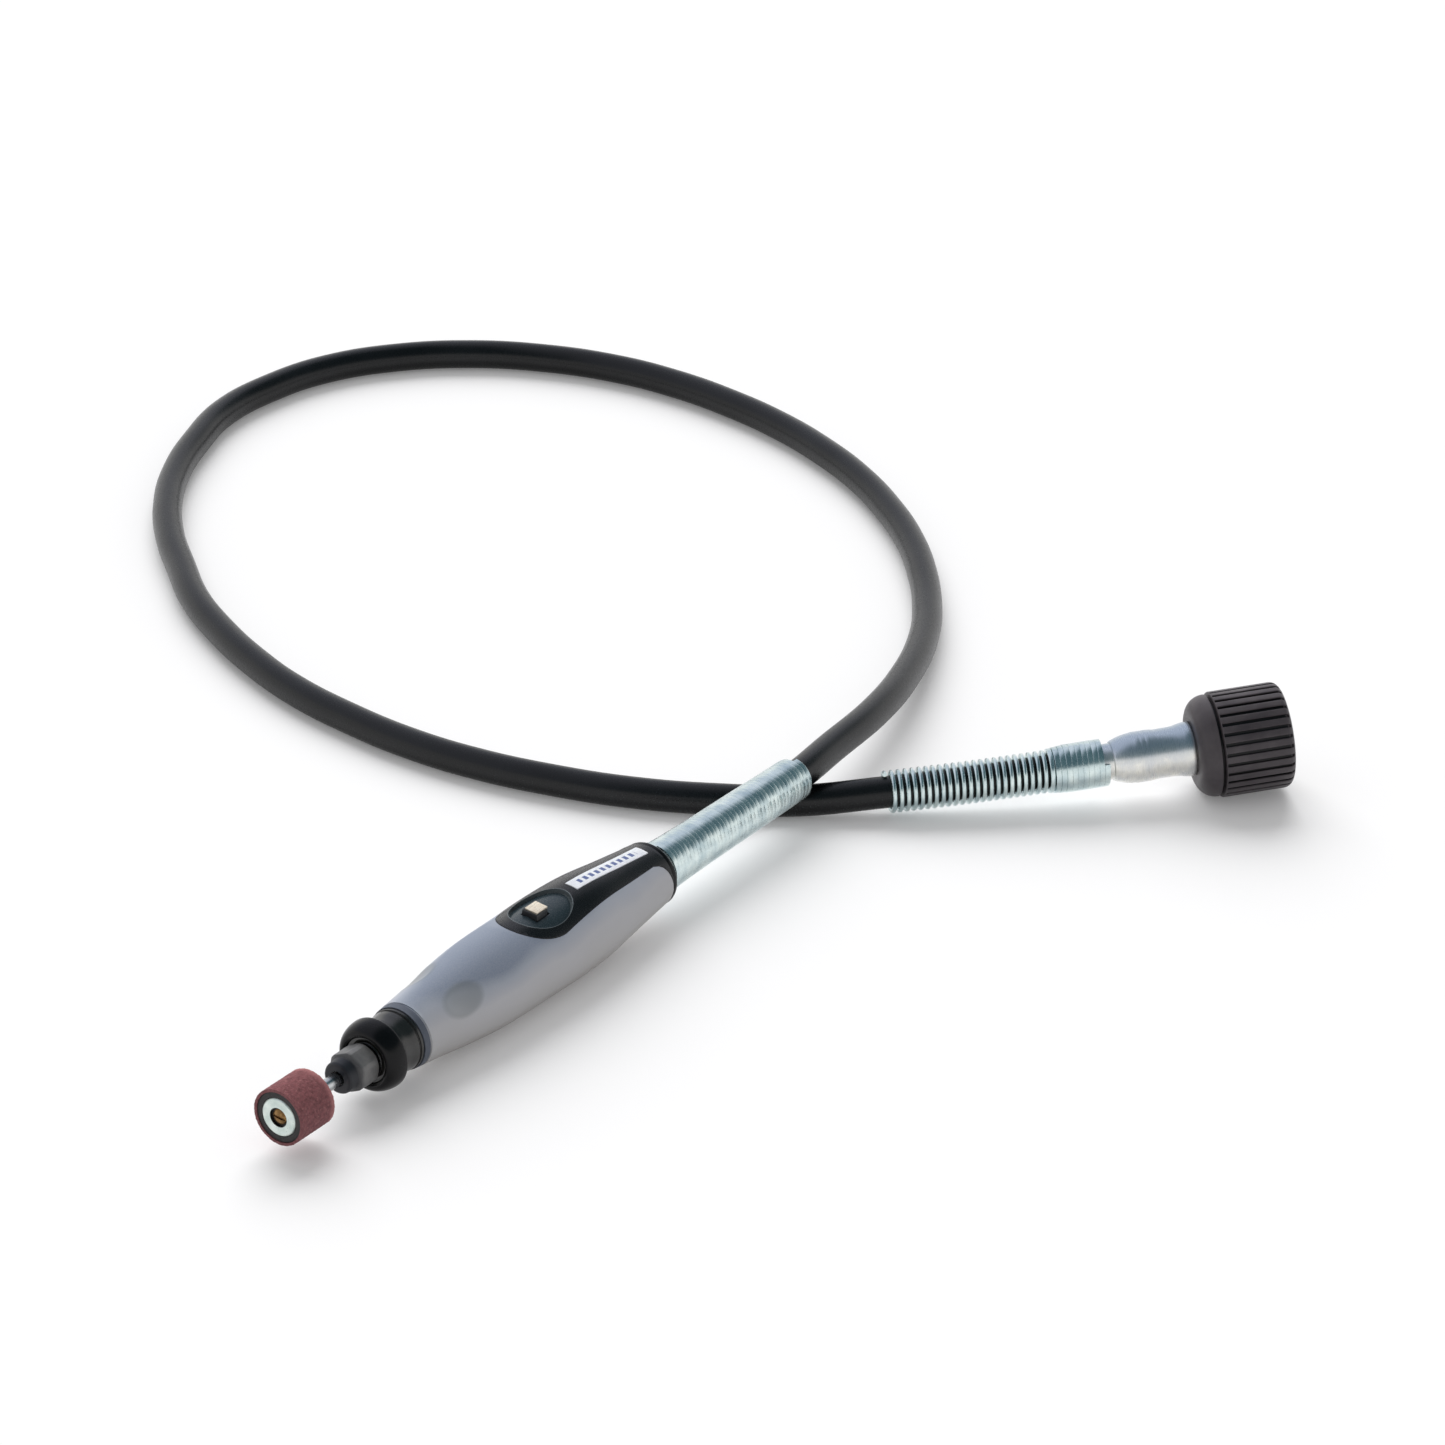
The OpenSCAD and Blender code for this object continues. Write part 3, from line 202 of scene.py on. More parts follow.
def block(name, x, y, z):
    return raised(name, [(x[0], y[0]), (x[1], y[0]), (x[1], y[1]), (x[0], y[1])], z[0], z[1])


def rod(name, radius, start, end, steps=64):
    return turned(name, [(start, 0), (start, radius), (end, radius), (end, 0)], steps, closed=False)


def applied(piece, kind, **settings):
    pick(piece)
    modifier = piece.modifiers.new(kind.lower(), kind)
    for name, value in settings.items():
        setattr(modifier, name, value)
    bpy.ops.object.modifier_apply(modifier=modifier.name)


def cut(piece, cutter, operation="DIFFERENCE"):
    applied(piece, "BOOLEAN", object=cutter, operation=operation, solver="EXACT")
    bpy.data.objects.remove(cutter)


def bevelled(piece, width, segments=3, sharp=32):
    applied(piece, "BEVEL", width=width, segments=segments, limit_method="ANGLE",
            angle_limit=math.radians(sharp), harden_normals=False)


# a piece goes to its place in the row's frame, on its body, with its finish, for a CAD node
def seat(piece, place, body, finish, nodeName, smooth=38):
    pick(piece)
    piece.matrix_world = place
    bpy.ops.object.transform_apply(location=True, rotation=True, scale=True)
    bpy.ops.object.shade_smooth_by_angle(angle=math.radians(smooth))
    piece.data.materials.clear()
    piece.data.materials.append(finishes[finish])
    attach(piece, body)
    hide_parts(nodeName)


# a wound wire: its places along the axis at given turns, and its outer radius at given places; aside is
# how far its middle lies off the axis at a place, and flat, as [place, width, thickness], makes the wire a
# rounded strip from that place on
def wound(name, wire, turnPlaces, outerRadii, sides=10, perTurn=36, aside=None, flat=()):
    curve = bpy.data.curves.new(name, "CURVE")
    curve.dimensions = "3D"
    curve.bevel_depth = wire
    curve.bevel_resolution = (sides - 4) // 2
    curve.use_fill_caps = not flat
    spline = curve.splines.new("POLY")
    count = round(turnPlaces[-1][0] * perTurn)
    spline.points.add(count)
    centres = []
    for k in range(count + 1):
        angle = 2 * math.pi * k / perTurn
        place = between(turnPlaces, k / perTurn)
        thick = between([(p, t / 2) for p, _, t in flat], place) if flat else wire
        radius = between(outerRadii, place) - thick
        out = Vector((0, math.sin(angle), math.cos(angle)))
        centres.append((Vector((place, aside(place) if aside else 0, 0)) + out * radius, out))
        spline.points[k].co = (*centres[-1][0], 1)
    pick(added(name, curve))
    bpy.ops.object.convert(target="MESH")
    piece = bpy.context.object
    if flat:
        flatten(piece, centres, wire, flat)
    return piece


stripCorner = 0.1  # the lower, the squarer the strip


# presses a round wire into a strip with rounded corners
def flatten(piece, centres, wire, flat):
    along = Vector((1, 0, 0))
    ringSize = len(piece.data.vertices) // len(centres)
    for vertex in piece.data.vertices:
        centre, out = centres[vertex.index // ringSize]
        away = vertex.co - centre
        upShare, sideShare = away.dot(out) / wire, away.dot(along) / wire
        rest = away - out * away.dot(out) - along * away.dot(along)
        thick = between([(place, thickness / 2) for place, _, thickness in flat], centre.x)
        wide = between([(place, width / 2) for place, width, _ in flat], centre.x)
        square = between([(place, 1.0 if width == thickness else stripCorner)
                          for place, width, thickness in flat], centre.x)
        up = math.copysign(min(1, abs(upShare)) ** square, upShare) * thick
        side = math.copysign(min(1, abs(sideShare)) ** square, sideShare) * wide
        vertex.co = centre + out * up + along * side + rest
    pick(piece)
    editAll("SELECT")
    bpy.ops.mesh.fill_holes(sides=0)
    facesOut()


def tint(red, green, blue):
    linear = [(share / 12.92 if share <= 0.04 else ((share + 0.055) / 1.055) ** 2.4)
              for share in (red / 255, green / 255, blue / 255)]
    return (*linear, 1)


# a new node, its inputs linked where they are given as sockets and set where they are given as values
def nodeIn(tree, kind, inputs=(), **settings):
    made = tree.nodes.new("ShaderNode" + kind)
    for name, value in settings.items():
        setattr(made, name, value)
    for name, value in dict(inputs).items():
        if isinstance(value, bpy.types.NodeSocket):
            tree.links.new(value, made.inputs[name])
        else:
            made.inputs[name].default_value = value
    return made


# millimetres about the handpiece's or the coupling's axis, or in the row's own frame
def coordinatesIn(tree, place, stretch=(1, 1, 1)):
    location, turn, size = (place or Matrix.Scale(mm, 4)).decompose()
    where = nodeIn(tree, "Mapping", {
        "Vector": nodeIn(tree, "TexCoord").outputs["Object"],
        "Location": location, "Rotation": turn.to_euler(), "Scale": size,
    }, vector_type="TEXTURE").outputs["Vector"]
    if stretch != (1, 1, 1):
        where = nodeIn(tree, "Mapping", {"Vector": where, "Scale": stretch}).outputs["Vector"]
    return where


def mathIn(tree, operation, first, second=0.0):
    return nodeIn(tree, "Math", {0: first, 1: second}, operation=operation).outputs["Value"]


def rampIn(tree, amount, stops):
    ramp = nodeIn(tree, "ValToRGB", {"Fac": amount})
    while len(ramp.color_ramp.elements) < len(stops):
        ramp.color_ramp.elements.new(0.5)
    for element, (position, shade) in zip(ramp.color_ramp.elements, stops):
        element.position = position
        element.color = tint(*shade)
    return ramp.outputs["Color"]


def mixIn(tree, amount, first, second):
    return nodeIn(tree, "Mix", {0: amount, 6: first, 7: second}, data_type="RGBA").outputs[2]


def rangeIn(tree, amount, low, high, fromLow=0.3, fromHigh=0.7):
    return nodeIn(tree, "MapRange", {
        "Value": amount, "From Min": fromLow, "From Max": fromHigh, "To Min": low, "To Max": high,
    }).outputs["Result"]


def noiseIn(tree, where, scale, detail=3.0, rough=0.5):
    return nodeIn(tree, "TexNoise", {
        "Vector": where, "Scale": scale, "Detail": detail, "Roughness": rough}).outputs["Fac"]


def partsIn(tree, where):
    return nodeIn(tree, "SeparateXYZ", {"Vector": where}).outputs


def squareIn(tree, amount):
    return mathIn(tree, "POWER", amount, 2.0)


# distance from the axis
def outIn(tree, where):
    parts = partsIn(tree, where)
    return mathIn(tree, "SQRT", mathIn(tree, "ADD", squareIn(tree, parts["Y"]), squareIn(tree, parts["Z"])))


# one between two values of an amount, and nought elsewhere
def insideIn(tree, amount, low, high):
    return mathIn(tree, "MULTIPLY", mathIn(tree, "GREATER_THAN", amount, low),
                  mathIn(tree, "LESS_THAN", amount, high))


def newFinish(name, metallic=0.0, specular=0.5, coat=0.0):
    material = bpy.data.materials.new(name)
    material.use_nodes = True
    shader = material.node_tree.nodes["Principled BSDF"]
    for socketName, value in (("Metallic", metallic), ("Specular IOR Level", specular),
                              ("Coat Weight", coat), ("Coat Roughness", 0.15)):
        shader.inputs[socketName].default_value = value
    return material, material.node_tree, shader


def dress(tree, shader, colour, rough, height, relief):
    tree.links.new(colour, shader.inputs["Base Color"])
    tree.links.new(rough, shader.inputs["Roughness"])
    bump = nodeIn(tree, "Bump", {"Height": height, "Distance": relief * mm, "Strength": 1.0})
    tree.links.new(bump.outputs["Normal"], shader.inputs["Normal"])


# where a layer of a finish lies, from nought to one: above a height, ahead of a place, inside a radius,
# in a groove, in an oval seen from above, or on a row of bars
def aboveIn(tree, where, start, full):
    return rangeIn(tree, partsIn(tree, where)["Z"], 0.0, 1.0, start, full)


def aheadIn(tree, where, full, end):
    return rangeIn(tree, partsIn(tree, where)["X"], 1.0, 0.0, full, end)


def withinIn(tree, where, full, end):
    return rangeIn(tree, outIn(tree, where), 1.0, 0.0, full, end)


def grooveIn(tree, where, along, out):
    onStretch = insideIn(tree, partsIn(tree, where)["X"], *along)
    return mathIn(tree, "MULTIPLY", onStretch, withinIn(tree, where, *out))


def ovalIn(tree, where, middle, halves, reach):
    parts = partsIn(tree, where)
    ahead = mathIn(tree, "DIVIDE", mathIn(tree, "SUBTRACT", parts["X"], middle), halves[0])
    aside = mathIn(tree, "DIVIDE", parts["Y"], halves[1])
    share = mathIn(tree, "ADD", squareIn(tree, ahead), squareIn(tree, aside))
    return mathIn(tree, "LESS_THAN", share, reach)


def barsIn(tree, where, row, pitch, bar, half):
    parts = partsIn(tree, where)
    share = mathIn(tree, "FRACT", mathIn(tree, "DIVIDE", parts["X"], pitch))
    inBar = mathIn(tree, "MULTIPLY", mathIn(tree, "LESS_THAN", share, bar),
                   insideIn(tree, parts["Y"], -half, half))
    return mathIn(tree, "MULTIPLY", insideIn(tree, parts["X"], *row), inBar)


# two shades mottled together, with layers of other shades, a changing gloss and a fine relief; details
# are those of the mottle and of the grain
def plainFinish(name, dark, light, mottle, rough, grain, relief, metallic=0.0, specular=0.5, coat=0.0,
                place=None, details=(4.0, 3.0), grainRough=0.6, layers=()):
    material, tree, shader = newFinish(name, metallic, specular, coat)
    where = coordinatesIn(tree, place)
    colour = rampIn(tree, noiseIn(tree, where, mottle, details[0]), [(0.3, dark), (0.7, light)])
    for layerIn, shade, sizes in layers:
        colour = mixIn(tree, layerIn(tree, where, **sizes), colour, tint(*shade))
    grains = noiseIn(tree, coordinatesIn(tree, place, grain), 1.0, details[1], grainRough)
    dress(tree, shader, colour, rangeIn(tree, grains, *rough), grains, relief)
    return material


# rings left by a lathe run round the axis, so their grain is fine along X and wide across it
lathe = (7.0, 0.12, 0.12)
even = (3, 3, 3)
dishOval = {"middle": 95.85, "halves": (9.3, 6.3)}
labelBars = {"row": (110.5, 133.5), "pitch": 2.3, "bar": 0.55, "half": 0.75}
# dark and light shade, the mottle's scale, range of roughness, grain, relief, and what else it has
finishLooks = {
    "framePlastic": ((48, 49, 52), (60, 61, 65), 0.2, (0.42, 0.58), (5, 5, 5), 0.012, {}),
    "glossBlack": ((8, 8, 10), (15, 15, 17), 0.25, (0.18, 0.28), (1.4, 1.4, 1.4), 0.006,
                   {"specular": 0.2}),
    "neckBlack": ((16, 16, 15), (30, 29, 27), 0.25, (0.14, 0.24), lathe, 0.004,
                  {"specular": 0.6, "place": inHand}),
    "blackOxide": ((34, 34, 37), (58, 58, 60), 0.35, (0.26, 0.42), lathe, 0.006,
                   {"metallic": 0.55, "place": inHand}),
    # with painted shade, a dimmer blue-grey, over its upper side
    "aluminium": ((212, 215, 218), (248, 245, 236), 0.22, (0.24, 0.34), lathe, 0.004,
                  {"metallic": 0.82, "place": inCoupling,
                   "layers": [(aboveIn, (176, 188, 200), {"start": 1.0, "full": 4.6})]}),
    "tailAluminium": ((196, 199, 200), (222, 224, 222), 0.3, (0.24, 0.38), lathe, 0.004,
                      {"metallic": 1.0, "place": inHand}),
    "bearingSteel": ((186, 190, 194), (214, 217, 219), 0.5, (0.12, 0.24), lathe, 0.002,
                     {"metallic": 1.0, "place": inHand}),
    "springSteel": ((186, 204, 208), (226, 238, 236), 0.3, (0.18, 0.3), even, 0.004, {"metallic": 1.0}),
    "groundSteel": ((178, 181, 184), (212, 214, 214), 0.4, (0.16, 0.3), lathe, 0.003,
                    {"metallic": 1.0, "place": inHand}),
    "coreSteel": ((120, 122, 124), (150, 151, 152), 0.8, (0.3, 0.46), (4, 4, 4), 0.01, {"metallic": 1.0}),
    "bronze": ((146, 104, 58), (186, 140, 84), 0.7, (0.3, 0.46), (5, 5, 5), 0.008, {"metallic": 1.0}),
    "brass": ((176, 142, 78), (206, 174, 104), 0.5, (0.22, 0.36), lathe, 0.004,
              {"metallic": 1.0, "place": inCoupling}),
    "screwBrass": ((84, 62, 38), (158, 124, 80), 1.2, (0.28, 0.46), (6, 6, 6), 0.006, {"metallic": 1.0}),
    # with painted shade, near black, inside its pocket round the screw's head
    "washerPlate": ((204, 220, 214), (234, 244, 238), 0.45, (0.26, 0.42), even, 0.006,
                    {"metallic": 0.5, "place": inHand,
                     "layers": [(withinIn, (38, 36, 34), {"full": 2.38, "end": 2.44})]}),
    "drumRubber": ((24, 22, 23), (40, 37, 38), 0.5, (0.5, 0.72), (3.2, 3.2, 3.2), 0.03, {}),
    "capMetal": ((222, 208, 186), (244, 234, 216), 0.5, (0.24, 0.36), (0.6, 9, 0.6), 0.003,
                 {"metallic": 0.45, "place": inHand}),
    "buttonPlastic": ((26, 27, 30), (40, 41, 45), 0.6, (0.3, 0.46), (6, 6, 6), 0.01, {}),
    "coverRubber": ((9, 10, 12), (18, 20, 23), 0.05, (0.24, 0.36), (1.6, 1.6, 1.6), 0.01,
                    {"specular": 0.32, "details": (3.0, 4.0)}),
    # grey, with painted shade at its nose standing in for the dark reflection there
    "nutSteel": ((98, 98, 100), (122, 121, 120), 0.35, (0.38, 0.52), lathe, 0.006,
                 {"metallic": 0.25, "place": inHand,
                  "layers": [(aheadIn, (32, 34, 40), {"full": 23.6, "end": 25.4})]}),
    # near black, with a painted blue-grey reflection in the dish inside a painted highlight along its thin
    # rim
    "panelPlastic": ((10, 11, 13), (20, 22, 25), 0.12, (0.2, 0.32), even, 0.008,
                     {"specular": 0.32, "place": inHand, "details": (3.0, 4.0),
                      "layers": [(ovalIn, (96, 104, 108), {**dishOval, "reach": 1.04}),
                                 (ovalIn, (42, 54, 60), {**dishOval, "reach": 0.9})]}),
    # white, with a row of plain bars of one size
    "labelFilm": ((216, 220, 228), (232, 235, 240), 0.6, (0.24, 0.36), (2.5, 2.5, 2.5), 0.004,
                  {"coat": 0.3, "place": inHand, "details": (3.0, 3.0), "grainRough": 0.5,
                   "layers": [(barsIn, (58, 82, 140), labelBars)]}),
    # dark grey, with painted shade, near black, in the grooves between the ribs and in the seam of the
    # collar
    "knobPlastic": ((66, 61, 65), (84, 79, 82), 0.16, (0.34, 0.5), even, 0.012,
                    {"specular": 0.3, "place": inCoupling, "details": (3.0, 4.0),
                     "layers": [(grooveIn, (10, 9, 12), {"along": (83.2, 99.6), "out": (12.75, 13.1)}),
                                (grooveIn, (10, 9, 12), {"along": (82.3, 83.15), "out": (12.2, 12.201)})]}),
}


# painted shade by height, warm below and darker blue-grey on top, with fine pores, painted shade on the
# front lip for the dark line at the neck and in the dimple on each side; noises are given by their
# scale, detail and roughness
gripLook = {"heights": [(0.0, (174, 168, 163)), (0.35, (184, 182, 181)), (0.72, (190, 190, 194)),
                        (0.9, (166, 172, 184)), (1.0, (122, 133, 152))],
            "lowest": -9.0, "highest": 9.2, "lipPaintedShade": (84, 90, 102), "lipTo": 45.35,
            "poreShade": (182, 184, 190), "dimplePaintedShade": (122, 128, 130), "dimpleShare": 0.45,
            "dimpleAt": 56.65, "dimpleOut": 15.7331, "dimpleEdge": (13.9, 14.5), "cloud": 0.06,
            "cloudNoise": (0.045, 2.0), "poreNoise": (3.4, 5.0, 0.65), "pores": 0.3, "rough": (0.44, 0.6),
            "relief": 0.016}


def gripFinish(name, heights, lowest, highest, lipPaintedShade, lipTo, poreShade, dimplePaintedShade, dimpleShare,
               dimpleAt, dimpleOut, dimpleEdge, cloud, cloudNoise, poreNoise, pores, rough, relief):
    material, tree, shader = newFinish(name, specular=0.36)
    where = coordinatesIn(tree, inHand)
    parts = partsIn(tree, where)
    clouds = rangeIn(tree, noiseIn(tree, where, *cloudNoise), -cloud, cloud)
    height = rangeIn(tree, parts["Z"], 0.0, 1.0, lowest, highest)
    # painted shade: darker and bluer towards the top, warmer below
    body = rampIn(tree, mathIn(tree, "ADD", height, clouds), heights)
    grain = noiseIn(tree, where, *poreNoise)
    colour = mixIn(tree, rangeIn(tree, grain, 0.0, pores), body, tint(*poreShade))
    # painted shade in the dimple on each side
    for side in (-1, 1):
        away = nodeIn(tree, "VectorMath", {0: where, 1: (dimpleAt, side * dimpleOut, dimpleOut)},
                      operation="DISTANCE").outputs["Value"]
        colour = mixIn(tree, rangeIn(tree, away, dimpleShare, 0.0, *dimpleEdge), colour, tint(*dimplePaintedShade))
    # painted shade over the front lip, for the dark line between the grip and the neck
    colour = mixIn(tree, mathIn(tree, "LESS_THAN", parts["X"], lipTo), colour, tint(*lipPaintedShade))
    dress(tree, shader, colour, rangeIn(tree, grain, *rough), grain, relief)
    return material


# red grit with pale specks, paler towards the band's rear edge
abrasiveLook = {"dark": (106, 66, 69), "red": (142, 90, 93), "stops": (0.34, 0.62),
                "light": (184, 134, 132), "edgeShade": (206, 142, 142), "edge": (9.8, 11.4), "edgeShare": 0.55,
                "gritScale": 2.6, "gritTo": 0.6, "baseNoise": (1.1, 6.0, 0.7), "specks": 0.6,
                "speckNoise": (1.7, 3.0, 0.7), "speckFrom": (0.56, 0.74), "rough": (0.6, 0.85),
                "relief": 0.05}


def abrasiveFinish(name, dark, red, stops, light, edgeShade, edge, edgeShare, gritScale, gritTo, baseNoise,
                   speckNoise, specks, speckFrom, rough, relief):
    material, tree, shader = newFinish(name, specular=0.3)
    where = coordinatesIn(tree, inHand)
    grit = nodeIn(tree, "TexVoronoi", {"Vector": where, "Scale": gritScale}).outputs["Distance"]
    base = rampIn(tree, noiseIn(tree, where, *baseNoise), [(stops[0], dark), (stops[1], red)])
    pale = rangeIn(tree, noiseIn(tree, where, *speckNoise), 0.0, specks, *speckFrom)
    atEdge = rangeIn(tree, partsIn(tree, where)["X"], 0.0, edgeShare, *edge)
    colour = mixIn(tree, atEdge, mixIn(tree, pale, base, tint(*light)), tint(*edgeShade))
    dress(tree, shader, colour, rangeIn(tree, grit, *rough, 0.0, gritTo), grit, relief)
    return material


finishes = {name: plainFinish(name, *look, **others) for name, (*look, others) in finishLooks.items()}
finishes["gripPlastic"] = gripFinish("gripPlastic", **gripLook)
finishes["abrasive"] = abrasiveFinish("abrasive", **abrasiveLook)
print("stage: finishes made")


view = {"place": (-1.1243, -0.7741, 0.7259), "tilt": 64.0, "turn": -54.59, "lens": 162.7}


def makeCamera(place, tilt, turn, lens):
    camera = added("camera", bpy.data.cameras.new("camera"))
    camera.data.lens = lens
    camera.data.clip_start = 0.01
    camera.location = place
    camera.rotation_euler = (math.radians(tilt), 0, math.radians(turn))
    bpy.context.scene.camera = camera


# one for the listed kinds of ray, and nought for the others
def raysIn(tree, *kinds):
    path = nodeIn(tree, "LightPath").outputs
    seen = path[kinds[0]]
    for kind in kinds[1:]:
        seen = mathIn(tree, "ADD", seen, path[kind])
    return mathIn(tree, "MINIMUM", seen, 1.0)


floorLook = {"size": 9.0, "shade": (236, 236, 237), "glow": 0.145}


# white for what the camera, gloss and glass see, on top of the light that falls on it
def makeFloor(size, shade, glow):
    deselectAll()
    bpy.ops.mesh.primitive_plane_add(size=size, location=(0, 0, 0))
    floor = bpy.context.object
    floor.name = "floor"
    material, tree, shader = newFinish("paper", specular=0.0)
    shader.inputs["Base Color"].default_value = tint(*shade)
    shader.inputs["Roughness"].default_value = 0.9
    shader.inputs["Emission Color"].default_value = (1, 1, 1, 1)
    seen = raysIn(tree, "Is Camera Ray", "Is Transmission Ray", "Is Glossy Ray")
    tree.links.new(mathIn(tree, "MULTIPLY", seen, glow), shader.inputs["Emission Strength"])
    floor.data.materials.append(material)


lightLook = {"sun": 2.9, "sunWidth": 55.0, "sunFrom": (0.85, 0.85, 1.0), "sky": 0.45, "wall": (0.3, 0.5),
             "ceiling": (86, 110, 118), "back": (222, 226, 240), "backEdge": (-0.05, 0.25)}


# a wide soft lamp from behind; gloss sees a white room with a pale back and a dim ceiling over its near
# half, which shows as the dark band in polished metal
def makeLight(sun, sunWidth, sunFrom, sky, wall, ceiling, back, backEdge):
    lamp = added("sun", bpy.data.lights.new("sun", "SUN"))
    lamp.data.energy = sun
    lamp.data.angle = math.radians(sunWidth)
    lamp.visible_glossy = False
    lamp.rotation_euler = Vector(sunFrom).to_track_quat("Z", "Y").to_euler()
    world = bpy.data.worlds.new("room")
    bpy.context.scene.world = world
    world.use_nodes = True
    tree = world.node_tree
    shown = tree.nodes["Background"]
    parts = partsIn(tree, nodeIn(tree, "TexCoord").outputs["Generated"])
    overhead = mixIn(tree, rangeIn(tree, parts["Y"], 0.0, 1.0, *backEdge), tint(*ceiling), tint(*back))
    room = mixIn(tree, rangeIn(tree, parts["Z"], 0.0, 1.0, *wall), (1, 1, 1, 1), overhead)
    tree.links.new(mixIn(tree, raysIn(tree, "Is Glossy Ray"), (1, 1, 1, 1), room), shown.inputs["Color"])
    seen = raysIn(tree, "Is Camera Ray", "Is Glossy Ray")
    tree.links.new(rangeIn(tree, seen, sky, 1.0, 0.0, 1.0), shown.inputs["Strength"])


makeCamera(**view)
makeFloor(**floorLook)
makeLight(**lightLook)
bpy.context.scene.view_settings.view_transform = "Standard"
print("stage: camera, floor and light set")


casing = {"radius": 4.0, "fromHand": 127.85, "springEnd": 200.5, "toFerrule": 59.6, "length": 932.0,
          "spigotEnd": 148.35, "lean": 2.6, "leanEnd": 46.55}
loopRoute = [
    (72, 43.5, 12.3), (98.5, 48.4, 10.4), (125, 57, 7.7), (151.5, 69, 5.2),
    (169.5, 80, 4.2), (186.5, 93, 4), (202, 107.5, 4), (215.5, 123.5, 4), (227.5, 141, 4),
    (237, 159.5, 4), (244.5, 179, 4), (249.5, 199.5, 4), (252, 220.5, 4), (251, 241.5, 4),
    (245.5, 262, 4), (236, 280.5, 4), (221.5, 296.5, 4), (203.5, 307.5, 4), (183, 312, 4),
    (162.5, 311.5, 4), (142.5, 305, 4), (123, 296, 4), (105.5, 284.5, 4), (89.5, 270.5, 4),
    (75.5, 255, 4), (62, 239, 4), (51, 221.5, 4), (41.5, 202.5, 4), (34, 182.5, 4),
    (29.5, 162, 4), (27, 141, 4), (27.5, 120, 4), (31, 99.5, 4), (37, 79, 4),
    (46, 60, 4), (57, 42.5, 4.2),
]


# the casing and its spring come to the coupling from one side, and straighten out at the ferrule
def leanAt(place):
    return casing["lean"] * max(0, 1 - place / casing["leanEnd"]) ** 2


def makeCasing():
    route = [inHand @ Vector((casing["fromHand"], 0, 0)), inHand @ Vector((casing["springEnd"], 0, 0))]
    route += [Vector(point) * mm for point in loopRoute]
    route += [inCoupling @ Vector((place, leanAt(place), 0)) for place in evenly(0, casing["leanEnd"], 4)]
    route.append(inCoupling @ Vector((casing["toFerrule"], 0, 0)))
    curve = bpy.data.curves.new("flexible_casing", "CURVE")
    curve.dimensions = "3D"
    curve.resolution_u = 8
    curve.bevel_depth = casing["radius"] * mm
    curve.bevel_resolution = 8
    curve.use_fill_caps = True
    spline = curve.splines.new("BEZIER")
    spline.bezier_points.add(len(route) - 1)
    for bezierPoint, point in zip(spline.bezier_points, route):
        bezierPoint.co = point
        bezierPoint.handle_left_type = bezierPoint.handle_right_type = "AUTO"
    piece = added("flexible_casing", curve)
    curve.materials.append(finishes["coverRubber"])
    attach(piece, "handle")
    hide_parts("sheath")


makeCasing()
print("stage: flexible casing made")


# a close-wound strip that tapers from the tail ring to the casing
tailSpring = {"turns": 41, "width": 1.38, "thickness": 0.9,
              "outer": [(0, 6.75), (3, 6.35), (8, 6.15), (17.5, 5.95), (58.5, 5.55)]}


def makeTailSpring(turns, width, thickness, outer):
    start, end, _ = reachOf("tail_spring", inHand)
    start += width / 2
    end -= width / 2
    piece = wound("tail_spring_wire", thickness / 2, [(0, start), (turns, end)],
                  shifted(start, outer), sides=16,
                  flat=[(start, width, thickness), (end, width, thickness)])
    seat(piece, inHand, "handle", "springSteel", "tail_spring", smooth=32)


# round wire with open turns, pressed flat where its close turns grip the ferrule
machineSpring = {"wire": 0.58, "openTurns": 24, "openTo": 41.6, "closeTurns": 9.8, "endRadius": 5.37,
                 "baseRadius": 5.95, "flare": (39.9, 45.5), "press": (40.6, 42.2), "width": 1.34,
                 "thickness": 1.0}


def makeMachineSpring(wire, openTurns, openTo, closeTurns, endRadius, baseRadius, flare, press, width,
                      thickness):
    start, end, _ = reachOf("machine_spring", inCoupling)
    start += wire
    end -= width / 2
    roundWire, strip = (2 * wire, 2 * wire), (width, thickness)
    piece = wound("machine_spring_wire", wire,
                  [(0, start), (openTurns, openTo), (openTurns + closeTurns, end)],
                  [(start, endRadius), (flare[0], endRadius), (flare[1], baseRadius), (end, baseRadius)],
                  sides=12, aside=leanAt,
                  flat=[(start, *roundWire), (press[0], *roundWire), (press[1], *strip), (end, *strip)])
    seat(piece, inCoupling, "handle", "springSteel", "machine_spring", smooth=60)


makeTailSpring(**tailSpring)
makeMachineSpring(**machineSpring)
print("stage: springs wound")


gripShape = {
    "frontRadius": 7.8, "bellyRadius": 11.5, "tailRadius": 8.15, "bore": 7.05, "along": 96, "around": 160,
    "frontSwell": [(0, 0), (0.085, 0.24), (0.21, 0.65), (0.325, 0.905), (0.48, 0.965), (0.625, 1)],
    "tailSwell": [(0.73, 0.88), (0.855, 0.46), (1, 0)],
    "dimpleAt": 13.2, "dimpleTurn": 45, "dimpleBall": 14, "dimpleDepth": 0.9, "dimpleBlend": 0.28,
    "edge": 0.16, "lip": [(1.75, 0), (1.85, 0.28), (2.15, 0.28), (2.25, 0)], "lipRoom": (1.6, 2.4),
    "boreSteps": 12,
}
gripFrom, gripTo, _ = reachOf("grip_shell", inHand)
swell = [(share, gripShape[end] + (gripShape["bellyRadius"] - gripShape[end]) * rise)
         for end, swells in (("frontRadius", "frontSwell"), ("tailRadius", "tailSwell"))
         for share, rise in gripShape[swells]]


def slopeAt(k):
    before, after = swell[max(0, k - 1)], swell[min(len(swell) - 1, k + 1)]
    return (after[1] - before[1]) / (after[0] - before[0])


